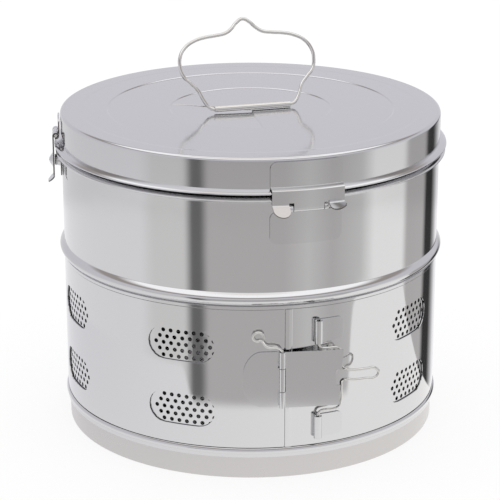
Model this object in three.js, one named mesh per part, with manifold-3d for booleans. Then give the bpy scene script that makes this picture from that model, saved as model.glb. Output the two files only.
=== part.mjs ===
// Sterilization drum: a round steel drum with a hinged lid, a perforated wall and a turning vent band.
// Millimetres, +Z up, the floor at zero, the lid hinge and the band clamp towards -Y.
// The origin is the middle of the footprint, clamp and hinge included.
import * as THREE from 'three';
import { mergeVertices } from 'three/addons/utils/BufferGeometryUtils.js';
import Module from 'manifold-3d';

const wasm = await Module();
wasm.setup();

// Counts of facets
const ringSegments = 48;
const wireSides = 6;
const pinSides = 12;
const roundSteps = 6;
const cornerSteps = 3;

// Gaps and overlaps that many pieces share
const seat = 0.3;
const overrun = 3;
const weld = 0.5;

// How far the drum's axis stands behind the middle of its footprint, which the hinge and clamp reach out
const axisSetBack = 4.5;

// Drum body
const drumRadius = 140;
const sheet = 1;
const footHeight = 16.5;
const footInset = 1.4;
const footSheet = 1.2;
const footFlange = 9;
const floorSheet = 1.2;
const floorUpstand = 7;
const lipProud = 0.4;
const lowerLipHeight = 2.6;
const lowerBeadHeight = 4.4;
const lowerBeadProud = 1.4;
const midLipHeight = 2.3;
const midGrooveHeight = 0.5;
const midGrooveDepth = 0.4;
const midBeadHeight = 9.8;
const midBeadProud = 3.2;
const upperWallHeight = 65.2;
const rimBeadHeight = 4.5;
const rimBeadProud = 4.6;
const neckHeight = 13.5;
const neckInset = 1.6;

// Vent band and the perforated patches behind its windows
const bandHeight = 104;
const bandSheet = 0.7;
const bandRunning = 0.5;
const bandEndPlay = 0.35;
const bandTurn = 1.6;
const slitAngle = -7.7;
const slitWidth = 1;
const hemWidth = 4.8;
const hemProud = 0.5;
const windowWidth = 50.5;
const windowHeight = 24.2;
const windowRowSpacing = 48.5;
const windowRowsLift = -1.4;
const windowsPerRow = 7;
const clampArc = 76.6;
const patchTurn = 3.3;
const patchHoleSides = 6;
const patchHoleRadius = 3.75;
const patchHolePitch = 15;
const patchRowPitch = 8;
const patchRowCounts = [2, 3, 2];

// Lid
const lidGap = 0.5;
const lidHeight = 26.7;
const lidProud = 0.6;
const lidBeadHeight = 4.8;
const lidBeadProud = 4.7;
const lidCorner = 4;
const lidStepDrop = 0.6;
const lidStepRun = 2.5;
const outerStepShare = 0.76;
const innerStepShare = 0.43;

// Lid hinge at the front
const leafSheet = 1;
const hingePinRadius = 1.25;
const hingePinDrop = 8.5;
const hingeLeafWidth = 52;
const hingeLeafDrop = 2.8;
const hingeCorner = 5;
const hingeBendRise = 1.4;
const bendRun = 1.8;
const earRootDrop = 5;
const tongueWidth = 21.6;
const knuckleWidth = 2.8;
const knuckleGap = 0.45;
const hingePinOverhang = 0.5;
const earWidth = 11.7;
const earLength = 11.2;
const leftEarFlare = 55;
const rightEarFlare = 70;
const bodyLeafDrop = 3.3;
const bodyLeafHeight = 23.2;
const bodyLeafCorner = 5;

// Latches at either side
const latchAngle = 101.25;
const latchPinRise = 4.9;
const latchPinRadius = 1.25;
const latchLeafWidth = 22;
const latchLeafDrop = 4;
const latchEdgeRise = 4.6;
const latchTongueWidth = 10.8;
const latchKnuckleGap = 0.5;
const haspWidth = 19.2;
const haspLength = 31.8;
const haspTabWidth = 12;
const haspTabLength = 6.5;
const haspTabFlare = 45;
const domeDrop = 20.4;
const domeRadius = 4.5;
const domeHeight = 3;
const domeSheet = 0.7;
const studTipRadius = 3;
const studBaseRadius = 5;
const studPlateWidth = 20;
const studPlateHeight = 15.4;
const studPlateDrop = 2.6;
const studPlateCorner = 3;

// Lid handle
const handleWireRadius = 1.3;
const handleTubeRadius = 2.2;
const handleTubeWall = 0.6;
const handleTubeLength = 58;
const handleForward = 6;
const handleLean = 25;
const handleHalfWidth = 51.3;
const handleHeight = 66;
const handleSteps = 52;
const handleWidthShares = [
  0.02, 0.3, 0.57, 0.612, 0.65, 0.69, 0.73, 0.775, 0.87, 0.962,
  1, 0.988, 0.9, 0.745, 0.58, 0.42, 0.27, 0.175, 0.1, 0,
];
const handleHeightShares = [
  0, 0, 0, 0.008, 0.03, 0.075, 0.14, 0.22, 0.305, 0.385,
  0.5, 0.6, 0.71, 0.782, 0.814, 0.828, 0.85, 0.9, 0.96, 1,
];

// Band clamp
const clampLift = 0.35;
const clampAxisAngle = -8.6;
const clampKnuckleRadius = 2.1;
const clampKnuckleWall = 0.75;
const clampPinRadius = 1;
const clampMiddleKnuckle = 16.9;
const clampKnuckleInset = 0.4;
const clampKnuckleGap = 0.4;
const fixedLeafSheet = 0.8;
const fixedLeafWidth = 26.6;
const fixedLeafShort = 0.4;
const fixedLeafRound = 13;
const clampPlateLength = 43.5;
const clampPlateGap = 2.5;
const clampPlateTilt = 9.6;
const clampPlateSlant = 2.8;
const notchDepth = 5.4;
const notchHeight = 11.8;
const eyeAngle = -15.5;
const eyeRise = 11.8;
const eyeRadius = 3.5;
const eyeSteps = 36;
const bracketMargin = 7.5;
const bracketAngle = 1.9;
const bracketRollRadius = 2.9;
const bracketRollWall = 1.5;
const bracketHeight = 17;
const bracketWidth = 19.8;
const bracketCorner = 4;
const bailWireRadius = 1;
const bailDrop = 2.1;
const bailTilt = 2.4;
const bailReach = 16.4;
const bailTip = 43.2;
const bailShoulderDrop = 4.1;
const bailBend = 3;
const bailHairpinHalf = 3.7;
const bailHairpinLift = 3;
const bailRise = 4.6;
const bailSteps = 64;
const bailEnd = 8;

// Levels and radii worked out from the sizes above
const shellBottom = footHeight + seat;
const lowerBeadZ = shellBottom + lowerLipHeight;
const grooveBottom = lowerBeadZ + lowerBeadHeight;
const grooveTop = grooveBottom + bandHeight + 2 * bandEndPlay;
const midBeadZ = grooveTop + midLipHeight + midGrooveHeight;
const midBeadTop = midBeadZ + midBeadHeight;
const rimBeadZ = midBeadTop + upperWallHeight;
const rimTop = rimBeadZ + rimBeadHeight;
const neckTop = rimTop + neckHeight;
const grooveRadius = drumRadius - bandSheet - bandRunning;
const neckRadius = drumRadius - neckInset;
const bandInner = drumRadius - bandSheet;
const lidBottom = rimTop + lidGap;
const lidTop = lidBottom + lidHeight;
const skirtRadius = drumRadius + lidProud;
const lidBeadRadius = skirtRadius + lidBeadProud;
const leafInner = skirtRadius + seat;
const leafOuter = leafInner + leafSheet;
const overBeadInner = lidBeadRadius + seat;
const overBeadOuter = overBeadInner + leafSheet;
const curlBore = hingePinRadius + seat;
const curlRadius = curlBore + leafSheet;
const hingeAxisRadius = overBeadOuter - curlRadius;
const latchBore = latchPinRadius + seat;
const latchCurlRadius = latchBore + leafSheet;
const latchClearOfBead = overBeadOuter - latchCurlRadius;
const latchAxisRadius = Math.max(leafInner + latchCurlRadius, latchClearOfBead);
const haspOuter = latchAxisRadius + latchCurlRadius;
const haspInner = haspOuter - leafSheet;
const panelTop = lidTop - 2 * lidStepDrop;
const handleAxisZ = panelTop + seat + handleTubeRadius;
const hingePinZ = lidBottom - hingePinDrop;
const hingeLeafTop = lidTop - hingeLeafDrop;
const hingeBendZ = lidBottom + lidBeadHeight + hingeBendRise;
const earRootZ = lidBottom - earRootDrop;
const bodyLeafTop = hingePinZ - bodyLeafDrop;
const bodyLeafBottom = bodyLeafTop - bodyLeafHeight;
const latchPinZ = lidBottom + lidBeadHeight + latchPinRise;
const latchLeafTop = lidTop - latchLeafDrop;
const latchLeafEdgeZ = latchPinZ + latchEdgeRise;
const haspBottom = latchPinZ - haspLength;
const domeZ = latchPinZ - domeDrop;
const windowPitch = (360 - clampArc) / (windowsPerRow - 1);
const clampAxisRadius = drumRadius + hemProud + seat + clampKnuckleRadius;
const bracketAxisRadius = drumRadius + seat + bracketRollRadius;
const clampZ = (grooveBottom + grooveTop) / 2 + clampLift;
const bracketSpread = bandHeight / 2 - bracketMargin - bracketHeight / 2;
const bailShoulder = bracketSpread - bracketHeight / 2 - bailShoulderDrop;
const clampPlateHeight = 2 * (bailShoulder - clampPlateGap);
const clampEndKnuckle = (clampPlateHeight - clampMiddleKnuckle) / 2 - clampKnuckleInset;
const fixedLeafHeight = clampPlateHeight - fixedLeafShort;
const eyeLift = clampPlateHeight / 2 + eyeRise;
const degrees = Math.PI / 180;

const polished = { color: '#c9c9cc', roughness: 0.16, metalness: 1 };
const softSteel = { color: '#bdbdc0', roughness: 0.3, metalness: 1 };
const wireSteel = { color: '#d2d0cf', roughness: 0.12, metalness: 1 };

// Turning shapes into solids and back

function solid(geometry) {
  const bare = geometry.clone();
  bare.deleteAttribute('normal');
  bare.deleteAttribute('uv');
  const merged = mergeVertices(bare);
  const index = merged.index.array;
  const kept = [];
  for (let i = 0; i < index.length; i += 3) {
    const [a, b, c] = [index[i], index[i + 1], index[i + 2]];
    if (a !== b && b !== c && c !== a) kept.push(a, b, c);
  }
  return new wasm.Manifold(new wasm.Mesh({
    numProp: 3,
    vertProperties: new Float32Array(merged.attributes.position.array),
    triVerts: new Uint32Array(kept),
  }));
}

function geometryOf(body) {
  const { vertProperties, triVerts } = body.getMesh();
  const geometry = new THREE.BufferGeometry();
  geometry.setAttribute('position', new THREE.BufferAttribute(new Float32Array(vertProperties), 3));
  geometry.setIndex(new THREE.BufferAttribute(new Uint32Array(triVerts), 1));
  const flat = geometry.toNonIndexed();
  flat.computeVertexNormals();
  return flat;
}

function piece(name, body, look) {
  const mesh = new THREE.Mesh(geometryOf(body), new THREE.MeshStandardMaterial(look));
  mesh.name = name;
  return mesh;
}

function join(bodies) {
  return bodies.reduce((whole, body) => whole.add(body));
}

// Shapes: outlines are drawn in X and Z as seen from the front

function ring(profile) {
  let doubled = 0;
  profile.forEach(([r, z], i) => {
    const [nextR, nextZ] = profile[(i + 1) % profile.length];
    doubled += r * nextZ - nextR * z;
  });
  const ordered = doubled > 0 ? profile : [...profile].reverse();
  const points = [...ordered, ordered[0]].map(([r, z]) => new THREE.Vector2(r, z));
  return solid(new THREE.LatheGeometry(points, ringSegments).rotateX(Math.PI / 2));
}

function band(inner, outer, low, high) {
  return ring([[inner, low], [outer, low], [outer, high], [inner, high]]);
}

function prismGeometry(outline, near, far) {
  const options = { depth: far - near, bevelEnabled: false, curveSegments: cornerSteps };
  return new THREE.ExtrudeGeometry(outline, options).rotateX(Math.PI / 2).translate(0, -near, 0);
}

function prism(outline, near, far) {
  return solid(prismGeometry(outline, near, far));
}

function roundedOutline(left, right, bottom, top, lowRadius, highRadius) {
  const outline = new THREE.Shape();
  outline.moveTo(left + lowRadius, bottom);
  outline.lineTo(right - lowRadius, bottom);
  if (lowRadius > 0) outline.absarc(right - lowRadius, bottom + lowRadius, lowRadius, -Math.PI / 2, 0);
  outline.lineTo(right, top - highRadius);
  if (highRadius > 0) outline.absarc(right - highRadius, top - highRadius, highRadius, 0, Math.PI / 2);
  outline.lineTo(left + highRadius, top);
  if (highRadius > 0) outline.absarc(left + highRadius, top - highRadius, highRadius, Math.PI / 2, Math.PI);
  outline.lineTo(left, bottom + lowRadius);
  if (lowRadius > 0) outline.absarc(left + lowRadius, bottom + lowRadius, lowRadius, -Math.PI, -Math.PI / 2);
  return outline;
}

function box(left, right, near, far, low, high) {
  return prism(roundedOutline(left, right, low, high, 0, 0), near, far);
}

function tube(left, right, outer, bore, y, z) {
  const outline = new THREE.Shape().absarc(0, 0, outer, 0, 2 * Math.PI);
  if (bore > 0) outline.holes.push(new THREE.Path().absarc(0, 0, bore, 0, 2 * Math.PI, true));
  const options = { depth: right - left, bevelEnabled: false, curveSegments: roundSteps };
  const geometry = new THREE.ExtrudeGeometry(outline, options);
  return solid(geometry.rotateX(Math.PI / 2).rotateZ(Math.PI / 2).translate(left, y, z));
}

function post(x, y, outer, bore, low, high) {
  const outline = new THREE.Shape().absarc(0, 0, outer, 0, 2 * Math.PI);
  if (bore > 0) outline.holes.push(new THREE.Path().absarc(0, 0, bore, 0, 2 * Math.PI, true));
  const options = { depth: high - low, bevelEnabled: false, curveSegments: roundSteps };
  return solid(new THREE.ExtrudeGeometry(outline, options).translate(x, y, low));
}

function wire(points, radius, steps, tension) {
  const path = new THREE.CatmullRomCurve3(points, false, 'catmullrom', tension);
  const section = new THREE.Shape();
  for (let i = 0; i < wireSides; i += 1) {
    const turn = (2 * Math.PI * i) / wireSides;
    const [x, y] = [radius * Math.cos(turn), radius * Math.sin(turn)];
    if (i === 0) section.moveTo(x, y);
    else section.lineTo(x, y);
  }
  return solid(new THREE.ExtrudeGeometry(section, { steps, extrudePath: path }));
}

function bump(base, proud, low, height, steps) {
  const points = [];
  for (let i = 0; i <= steps; i += 1) {
    points.push([base + proud * Math.sin((Math.PI * i) / steps), low + (height * i) / steps]);
  }
  return points;
}

function onArc(angle, radius, z) {
  return new THREE.Vector3(radius * Math.sin(angle * degrees), -radius * Math.cos(angle * degrees), z);
}

// Drum body

function drumShell() {
  const lipRadius = drumRadius + lipProud;
  const wall = ring([
    [lipRadius, shellBottom],
    ...bump(lipRadius, lowerBeadProud - lipProud, lowerBeadZ, lowerBeadHeight, cornerSteps),
    [grooveRadius, grooveBottom],
    [grooveRadius, grooveTop],
    [lipRadius, grooveTop],
    [lipRadius, grooveTop + midLipHeight],
    [drumRadius - midGrooveDepth, grooveTop + midLipHeight],
    ...bump(drumRadius, midBeadProud, midBeadZ, midBeadHeight, cornerSteps + 2),
    ...bump(drumRadius, rimBeadProud, rimBeadZ, rimBeadHeight, cornerSteps),
    [neckRadius, rimTop],
    [neckRadius, neckTop],
    [neckRadius - sheet, neckTop],
    [neckRadius - sheet, rimTop - sheet],
    [drumRadius - sheet, rimTop - 2 * sheet],
    [drumRadius - sheet, midBeadZ],
    [grooveRadius - sheet, grooveTop - sheet],
    [grooveRadius - sheet, shellBottom],
  ]);
  return wall.subtract(patchHoles());
}

function windowPlaces(turn) {
  const places = [];
  const middle = (grooveBottom + grooveTop) / 2 + windowRowsLift;
  for (let row = 0; row < 2; row += 1) {
    for (let i = 0; i < windowsPerRow; i += 1) {
      const angle = clampArc / 2 + i * windowPitch + turn;
      places.push([angle, middle + (row - 1 / 2) * windowRowSpacing]);
    }
  }
  return places;
}

function patchHoles() {
  const cutter = new THREE.Shape();
  for (let i = 0; i < patchHoleSides; i += 1) {
    const turn = (2 * Math.PI * i) / patchHoleSides;
    const [x, y] = [patchHoleRadius * Math.cos(turn), patchHoleRadius * Math.sin(turn)];
    if (i === 0) cutter.moveTo(x, y);
    else cutter.lineTo(x, y);
  }
  const drill = prismGeometry(cutter, grooveRadius - sheet - overrun, grooveRadius + overrun);
  const holes = [];
  for (const [angle, z] of windowPlaces(patchTurn)) {
    patchRowCounts.forEach((count, row) => {
      const rowZ = (row - (patchRowCounts.length - 1) / 2) * patchRowPitch;
      for (let i = 0; i < count; i += 1) {
        const along = (i - (count - 1) / 2) * patchHolePitch;
        const turn = angle * degrees + along / grooveRadius;
        holes.push(solid(drill.clone().translate(0, 0, z + rowZ).rotateZ(turn)));
      }
    });
  }
  return wasm.Manifold.union(holes);
}

function drumFloor() {
  const edge = grooveRadius - sheet - seat;
  const low = shellBottom;
  return ring([
    [0, low],
    [edge, low],
    [edge, low + floorUpstand],
    [edge - floorSheet, low + floorUpstand],
    [edge - floorSheet, low + floorSheet],
    [0, low + floorSheet],
  ]);
}

function baseRing() {
  const outer = drumRadius - footInset;
  const inner = outer - footSheet;
  return ring([
    [outer, 0],
    [outer, footHeight],
    [inner - footFlange, footHeight],
    [inner - footFlange, footHeight - footSheet],
    [inner, footHeight - footSheet],
    [inner, footSheet],
    [inner - footFlange, footSheet],
    [inner - footFlange, 0],
  ]);
}

// Lid

function lidShell() {
  const cornerRadius = skirtRadius - lidCorner;
  const outerStep = drumRadius * outerStepShare;
  const innerStep = drumRadius * innerStepShare;
  const corner = (radius) => {
    const points = [];
    for (let i = 0; i <= cornerSteps; i += 1) {
      const turn = (Math.PI / 2) * (i / cornerSteps);
      const r = cornerRadius + radius * Math.cos(turn);
      points.push([r, lidTop - lidCorner + radius * Math.sin(turn)]);
    }
    return points;
  };
  const panel = (drop) => [
    [outerStep, lidTop - drop],
    [outerStep - lidStepRun, lidTop - lidStepDrop - drop],
    [innerStep, lidTop - lidStepDrop - drop],
    [innerStep - lidStepRun, panelTop - drop],
    [0, panelTop - drop],
  ];
  return ring([
    [skirtRadius - sheet, lidBottom],
    ...bump(skirtRadius, lidBeadProud, lidBottom, lidBeadHeight, cornerSteps),
    ...corner(lidCorner),
    ...panel(0),
    ...panel(sheet).reverse(),
    ...corner(lidCorner - sheet).reverse(),
  ]);
}

function handleTube() {
  const half = handleTubeLength / 2;
  const bore = handleTubeRadius - handleTubeWall;
  return tube(-half, half, handleTubeRadius, bore, -handleForward, handleAxisZ);
}

function handlePoints() {
  const side = handleWidthShares.map((share, i) => (
    [share * handleHalfWidth, handleHeightShares[i] * handleHeight]
  ));
  const other = side.slice(0, -1).reverse().map(([x, up]) => [-x, up]);
  const lean = handleLean * degrees;
  return [...side, ...other].map(([x, up]) => new THREE.Vector3(
    x,
    -handleForward + up * Math.sin(lean),
    handleAxisZ + up * Math.cos(lean),
  ));
}

function lidHandle() {
  return wire(handlePoints(), handleWireRadius, handleSteps, 0.5);
}

// Hinge at the front

function stepProfile(bottom, top, bendZ) {
  return [
    [overBeadInner, bottom],
    [overBeadOuter, bottom],
    [overBeadOuter, bendZ - bendRun],
    [leafOuter, bendZ],
    [leafOuter, top],
    [leafInner, top],
    [leafInner, bendZ],
    [overBeadInner, bendZ - bendRun],
  ];
}

function ear(side, flare) {
  const half = earWidth / 2;
  const outline = new THREE.Shape();
  outline.moveTo(-half, weld);
  outline.lineTo(-half, half - earLength);
  outline.absarc(0, half - earLength, half, Math.PI, 2 * Math.PI);
  outline.lineTo(half, weld);
  const middle = (hingeLeafWidth - earWidth) / 2;
  const flap = prismGeometry(outline, 0, leafSheet).rotateX(-flare * degrees);
  return solid(flap.translate(0, -overBeadInner, earRootZ).rotateZ((side * middle) / overBeadInner));
}

function hingeLidLeaf() {
  const half = hingeLeafWidth / 2;
  const reach = overBeadOuter + overrun;
  const sheetRing = ring(stepProfile(earRootZ, hingeLeafTop, hingeBendZ));
  const outline = roundedOutline(-half, half, earRootZ - weld, hingeLeafTop, 0, hingeCorner);
  const leaf = sheetRing.intersect(prism(outline, drumRadius - overrun, reach));
  const tongueHalf = tongueWidth / 2;
  const tongue = box(-tongueHalf, tongueHalf, overBeadInner, overBeadOuter, hingePinZ, earRootZ + weld);
  const curl = tube(-tongueHalf, tongueHalf, curlRadius, curlBore, -hingeAxisRadius, hingePinZ);
  const bore = tube(-reach, reach, curlBore, 0, -hingeAxisRadius, hingePinZ);
  return join([leaf, tongue, curl, ear(-1, leftEarFlare), ear(1, rightEarFlare)]).subtract(bore);
}

function hingeBodyLeaf() {
  const half = hingeLeafWidth / 2;
  const inner = drumRadius + seat;
  const outer = inner + leafSheet;
  const outline = roundedOutline(-half, half, bodyLeafBottom, bodyLeafTop, bodyLeafCorner, bodyLeafCorner);
  const leaf = band(inner, outer, bodyLeafBottom - overrun, bodyLeafTop + overrun)
    .intersect(prism(outline, inner - overrun * 2, outer + overrun));
  const knuckles = [-1, 1].map((side) => {
    const near = tongueWidth / 2 + knuckleGap;
    const [left, right] = side < 0 ? [-near - knuckleWidth, -near] : [near, near + knuckleWidth];
    const loop = tube(left, right, curlRadius, curlBore, -hingeAxisRadius, hingePinZ);
    const [stemLow, stemHigh] = [bodyLeafTop - 2 * leafSheet, bodyLeafTop - leafSheet];
    const stem = box(left, right, inner, hingeAxisRadius, stemLow, stemHigh);
    const [riseNear, riseFar] = [hingeAxisRadius - curlRadius, hingeAxisRadius - curlBore];
    const rise = box(left, right, riseNear, riseFar, stemLow, hingePinZ);
    return loop.add(stem).add(rise);
  });
  const bore = tube(-half, half, curlBore, 0, -hingeAxisRadius, hingePinZ);
  return join([leaf, ...knuckles]).subtract(bore);
}

function hingePin() {
  const half = tongueWidth / 2 + knuckleGap + knuckleWidth + hingePinOverhang;
  return tube(-half, half, hingePinRadius, 0, -hingeAxisRadius, hingePinZ);
}

// Latches, drawn at the front and turned to their places by their groups: the hinge sits on the skirt
// above the lid's bead, and the hasp hangs over the bead onto its stud

function latchLeaf(angle) {
  const half = latchLeafWidth / 2;
  const tongueHalf = latchTongueWidth / 2;
  const inner = latchAxisRadius - latchCurlRadius;
  const outer = inner + leafSheet;
  const reach = outer + overrun;
  const sheetRing = band(inner, outer, latchPinZ, latchLeafTop + overrun).rotate([0, 0, -angle]);
  const outline = roundedOutline(-half, half, latchLeafEdgeZ, latchLeafTop, 0, studPlateCorner);
  const upper = sheetRing.intersect(prism(outline, drumRadius - overrun, reach));
  const slot = box(-tongueHalf, tongueHalf, drumRadius - overrun, reach, latchPinZ, latchLeafEdgeZ + weld);
  const tongue = sheetRing.intersect(slot);
  const curl = tube(-tongueHalf, tongueHalf, latchCurlRadius, latchBore, -latchAxisRadius, latchPinZ);
  const bore = tube(-half, half, latchBore, 0, -latchAxisRadius, latchPinZ);
  return join([upper, tongue, curl]).subtract(bore);
}

function latchPin() {
  const half = haspWidth / 2 - seat;
  return tube(-half, half, latchPinRadius, 0, -latchAxisRadius, latchPinZ);
}

function haspDome() {
  const shell = [];
  for (let i = 0; i <= cornerSteps; i += 1) {
    const turn = (Math.PI / 2) * (i / cornerSteps);
    shell.push([domeRadius * Math.cos(turn), domeHeight * Math.sin(turn)]);
  }
  for (let i = cornerSteps; i >= 0; i -= 1) {
    const turn = (Math.PI / 2) * (i / cornerSteps);
    shell.push([(domeRadius - domeSheet) * Math.cos(turn), (domeHeight - domeSheet) * Math.sin(turn)]);
  }
  const points = [...shell, shell[0]].map(([r, h]) => new THREE.Vector2(r, h));
  const cap = new THREE.LatheGeometry(points, pinSides).rotateX(Math.PI);
  return solid(cap.translate(0, -haspOuter + weld / 2, domeZ));
}

function haspTab() {
  const half = haspTabWidth / 2;
  const outline = new THREE.Shape();
  outline.moveTo(-half, weld);
  outline.lineTo(-half, studPlateCorner - haspTabLength);
  outline.lineTo(studPlateCorner - half, -haspTabLength);
  outline.lineTo(half - studPlateCorner, -haspTabLength);
  outline.lineTo(half, studPlateCorner - haspTabLength);
  outline.lineTo(half, weld);
  const flap = prismGeometry(outline, 0, leafSheet).rotateX(-haspTabFlare * degrees);
  return solid(flap.translate(0, -haspInner, haspBottom + weld));
}

function hasp() {
  const half = haspWidth / 2;
  const tongueHalf = latchTongueWidth / 2 + latchKnuckleGap;
  const shoulderZ = latchPinZ - latchCurlRadius - latchKnuckleGap;
  const outline = roundedOutline(-half, half, haspBottom, shoulderZ, studPlateCorner, 0);
  const hole = new THREE.Path().absarc(0, domeZ, domeRadius - domeSheet, 0, 2 * Math.PI, true);
  outline.holes.push(hole);
  const plate = prism(outline, haspInner, haspOuter);
  const loops = [[-half, -tongueHalf], [tongueHalf, half]].map(([left, right]) => {
    const loop = tube(left, right, latchCurlRadius, latchBore, -latchAxisRadius, latchPinZ);
    return loop.add(box(left, right, haspInner, haspOuter, shoulderZ - weld, latchPinZ));
  });
  const bore = tube(-half, half, latchBore, 0, -latchAxisRadius, latchPinZ);
  return join([plate, haspDome(), haspTab(), ...loops]).subtract(bore);
}

function latchStud(angle) {
  const inner = drumRadius + seat;
  const outer = inner + leafSheet;
  const half = studPlateWidth / 2;
  const middle = domeZ - studPlateDrop;
  const [low, high] = [middle - studPlateHeight / 2, middle + studPlateHeight / 2];
  const outline = roundedOutline(-half, half, low, high, studPlateCorner, studPlateCorner);
  const wallRing = band(inner, outer, low - overrun, high + overrun).rotate([0, 0, -angle]);
  const plate = wallRing.intersect(prism(outline, inner - overrun, outer + overrun));
  const length = haspInner - seat - inner - weld;
  const cone = new THREE.CylinderGeometry(studBaseRadius, studTipRadius, length, pinSides);
  const stud = solid(cone.translate(0, -(inner + weld + length / 2), domeZ));
  return plate.add(stud);
}

// Vent band

function ventBand() {
  const low = grooveBottom + bandEndPlay;
  const high = low + bandHeight;
  const width = windowWidth / 2;
  const round = windowHeight / 2;
  const outline = new THREE.Shape();
  outline.moveTo(round - width, -round);
  outline.lineTo(width - round, -round);
  outline.absarc(width - round, 0, round, -Math.PI / 2, Math.PI / 2);
  outline.lineTo(round - width, round);
  outline.absarc(round - width, 0, round, Math.PI / 2, 1.5 * Math.PI);
  const cutter = prismGeometry(outline, bandInner - overrun * 2, drumRadius + overrun);
  const windows = windowPlaces(0).map(([angle, z]) => (
    solid(cutter.clone().translate(0, 0, z).rotateZ(angle * degrees))
  ));
  const slit = new THREE.BoxGeometry(slitWidth, drumRadius, bandHeight * 2);
  const slitBody = solid(slit.translate(0, -drumRadius, high / 2).rotateZ(slitAngle * degrees));
  const hem = band(drumRadius - weld, drumRadius + hemProud, low, high);
  const hemBox = new THREE.BoxGeometry(hemWidth, drumRadius, bandHeight * 2);
  const hemTurn = slitAngle * degrees + hemWidth / 2 / drumRadius;
  const strip = hem.intersect(solid(hemBox.translate(0, -drumRadius, high / 2).rotateZ(hemTurn)));
  const sheetBody = band(bandInner, drumRadius, low, high).add(strip);
  return sheetBody.subtract(wasm.Manifold.union(windows)).subtract(slitBody);
}

// Band clamp, drawn with the middle of the clamp at the front

const clampAxis = onArc(clampAxisAngle, clampAxisRadius, clampZ);
const bailAxis = onArc(bracketAngle, bracketAxisRadius, clampZ - bailDrop);

function clampFixedLeaf() {
  const inner = drumRadius + seat;
  const outer = inner + fixedLeafSheet;
  const right = clampAxis.x;
  const left = right - fixedLeafWidth;
  const half = fixedLeafHeight / 2;
  const outline = new THREE.Shape();
  outline.moveTo(left + fixedLeafRound, clampZ - half);
  outline.lineTo(right, clampZ - half);
  outline.lineTo(right, clampZ + half);
  outline.lineTo(left + fixedLeafRound, clampZ + half);
  outline.absellipse(left + fixedLeafRound, clampZ, fixedLeafRound, half, Math.PI / 2, 1.5 * Math.PI);
  const leaf = band(inner, outer, clampZ - half - overrun, clampZ + half + overrun)
    .intersect(prism(outline, inner - overrun * 2, outer + overrun));
  const [low, high] = [clampZ - clampMiddleKnuckle / 2, clampZ + clampMiddleKnuckle / 2];
  const bore = clampKnuckleRadius - clampKnuckleWall;
  const knuckle = post(clampAxis.x, clampAxis.y, clampKnuckleRadius, bore, low, high);
  const clear = clampKnuckleRadius + seat;
  const clearHigh = post(clampAxis.x, clampAxis.y, clear, 0, high, clampZ + clampPlateHeight);
  const clearLow = post(clampAxis.x, clampAxis.y, clear, 0, clampZ - clampPlateHeight, low);
  const inside = post(clampAxis.x, clampAxis.y, bore, 0, low - overrun, high + overrun);
  const under = box(clampAxis.x - clampKnuckleRadius, clampAxis.x, inner - weld, -clampAxis.y, low, high);
  return leaf.add(under).subtract(clearHigh).subtract(clearLow).add(knuckle).subtract(inside);
}

function clampHingePin() {
  const half = clampPlateHeight / 2;
  const wireRadius = drumRadius + seat + clampPinRadius;
  const bend = eyeRadius;
  const eye = onArc(eyeAngle, wireRadius, clampZ + eyeLift);
  const across = (eye.x - clampAxis.x) / 3;
  const { x: pinX, y: pinY } = clampAxis;
  const points = [
    new THREE.Vector3(pinX, pinY, clampZ - half),
    new THREE.Vector3(pinX, pinY, clampZ),
    new THREE.Vector3(pinX, pinY, clampZ + half),
    new THREE.Vector3(pinX + across / 2, pinY, clampZ + half + bend),
    new THREE.Vector3(pinX + 2 * across, pinY + clampPinRadius, clampZ + eyeLift - 2 * bend),
  ];
  const turns = 10;
  for (let i = 0; i <= turns; i += 1) {
    const turn = -Math.PI / 3 - (Math.PI * 1.75 * i) / turns;
    const away = (clampPinRadius * 2 * i) / turns;
    const x = eye.x + eyeRadius * Math.cos(turn);
    const y = -Math.sqrt(wireRadius ** 2 - x ** 2) - away;
    points.push(new THREE.Vector3(x, y, eye.z + eyeRadius * Math.sin(turn)));
  }
  return wire(points, clampPinRadius, eyeSteps, 0.5);
}

function clampPlate() {
  const half = clampPlateHeight / 2;
  const knuckleHalf = clampMiddleKnuckle / 2 + clampKnuckleGap;
  const outline = new THREE.Shape();
  outline.moveTo(0, -half);
  outline.lineTo(clampPlateLength - clampPlateSlant, -half);
  outline.lineTo(clampPlateLength, half);
  outline.lineTo(0, half);
  const plate = prism(outline, -fixedLeafSheet / 2, fixedLeafSheet / 2);
  const beyond = clampKnuckleRadius + overrun;
  const [notchLeft, notchRight] = [clampPlateLength - notchDepth, clampPlateLength + overrun];
  const notch = box(notchLeft, notchRight, -beyond, beyond, -notchHeight / 2, notchHeight / 2);
  const room = box(-overrun, clampKnuckleRadius + seat, -beyond, beyond, -knuckleHalf, knuckleHalf);
  const bore = clampKnuckleRadius - clampKnuckleWall;
  const ends = [-1, 1].map((side) => {
    const [a, b] = [side * knuckleHalf, side * (knuckleHalf + clampEndKnuckle)];
    return post(0, 0, clampKnuckleRadius, bore, Math.min(a, b), Math.max(a, b));
  });
  const inside = post(0, 0, bore, 0, -half - overrun, half + overrun);
  return join([plate.subtract(notch).subtract(room), ...ends]).subtract(inside);
}

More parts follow.
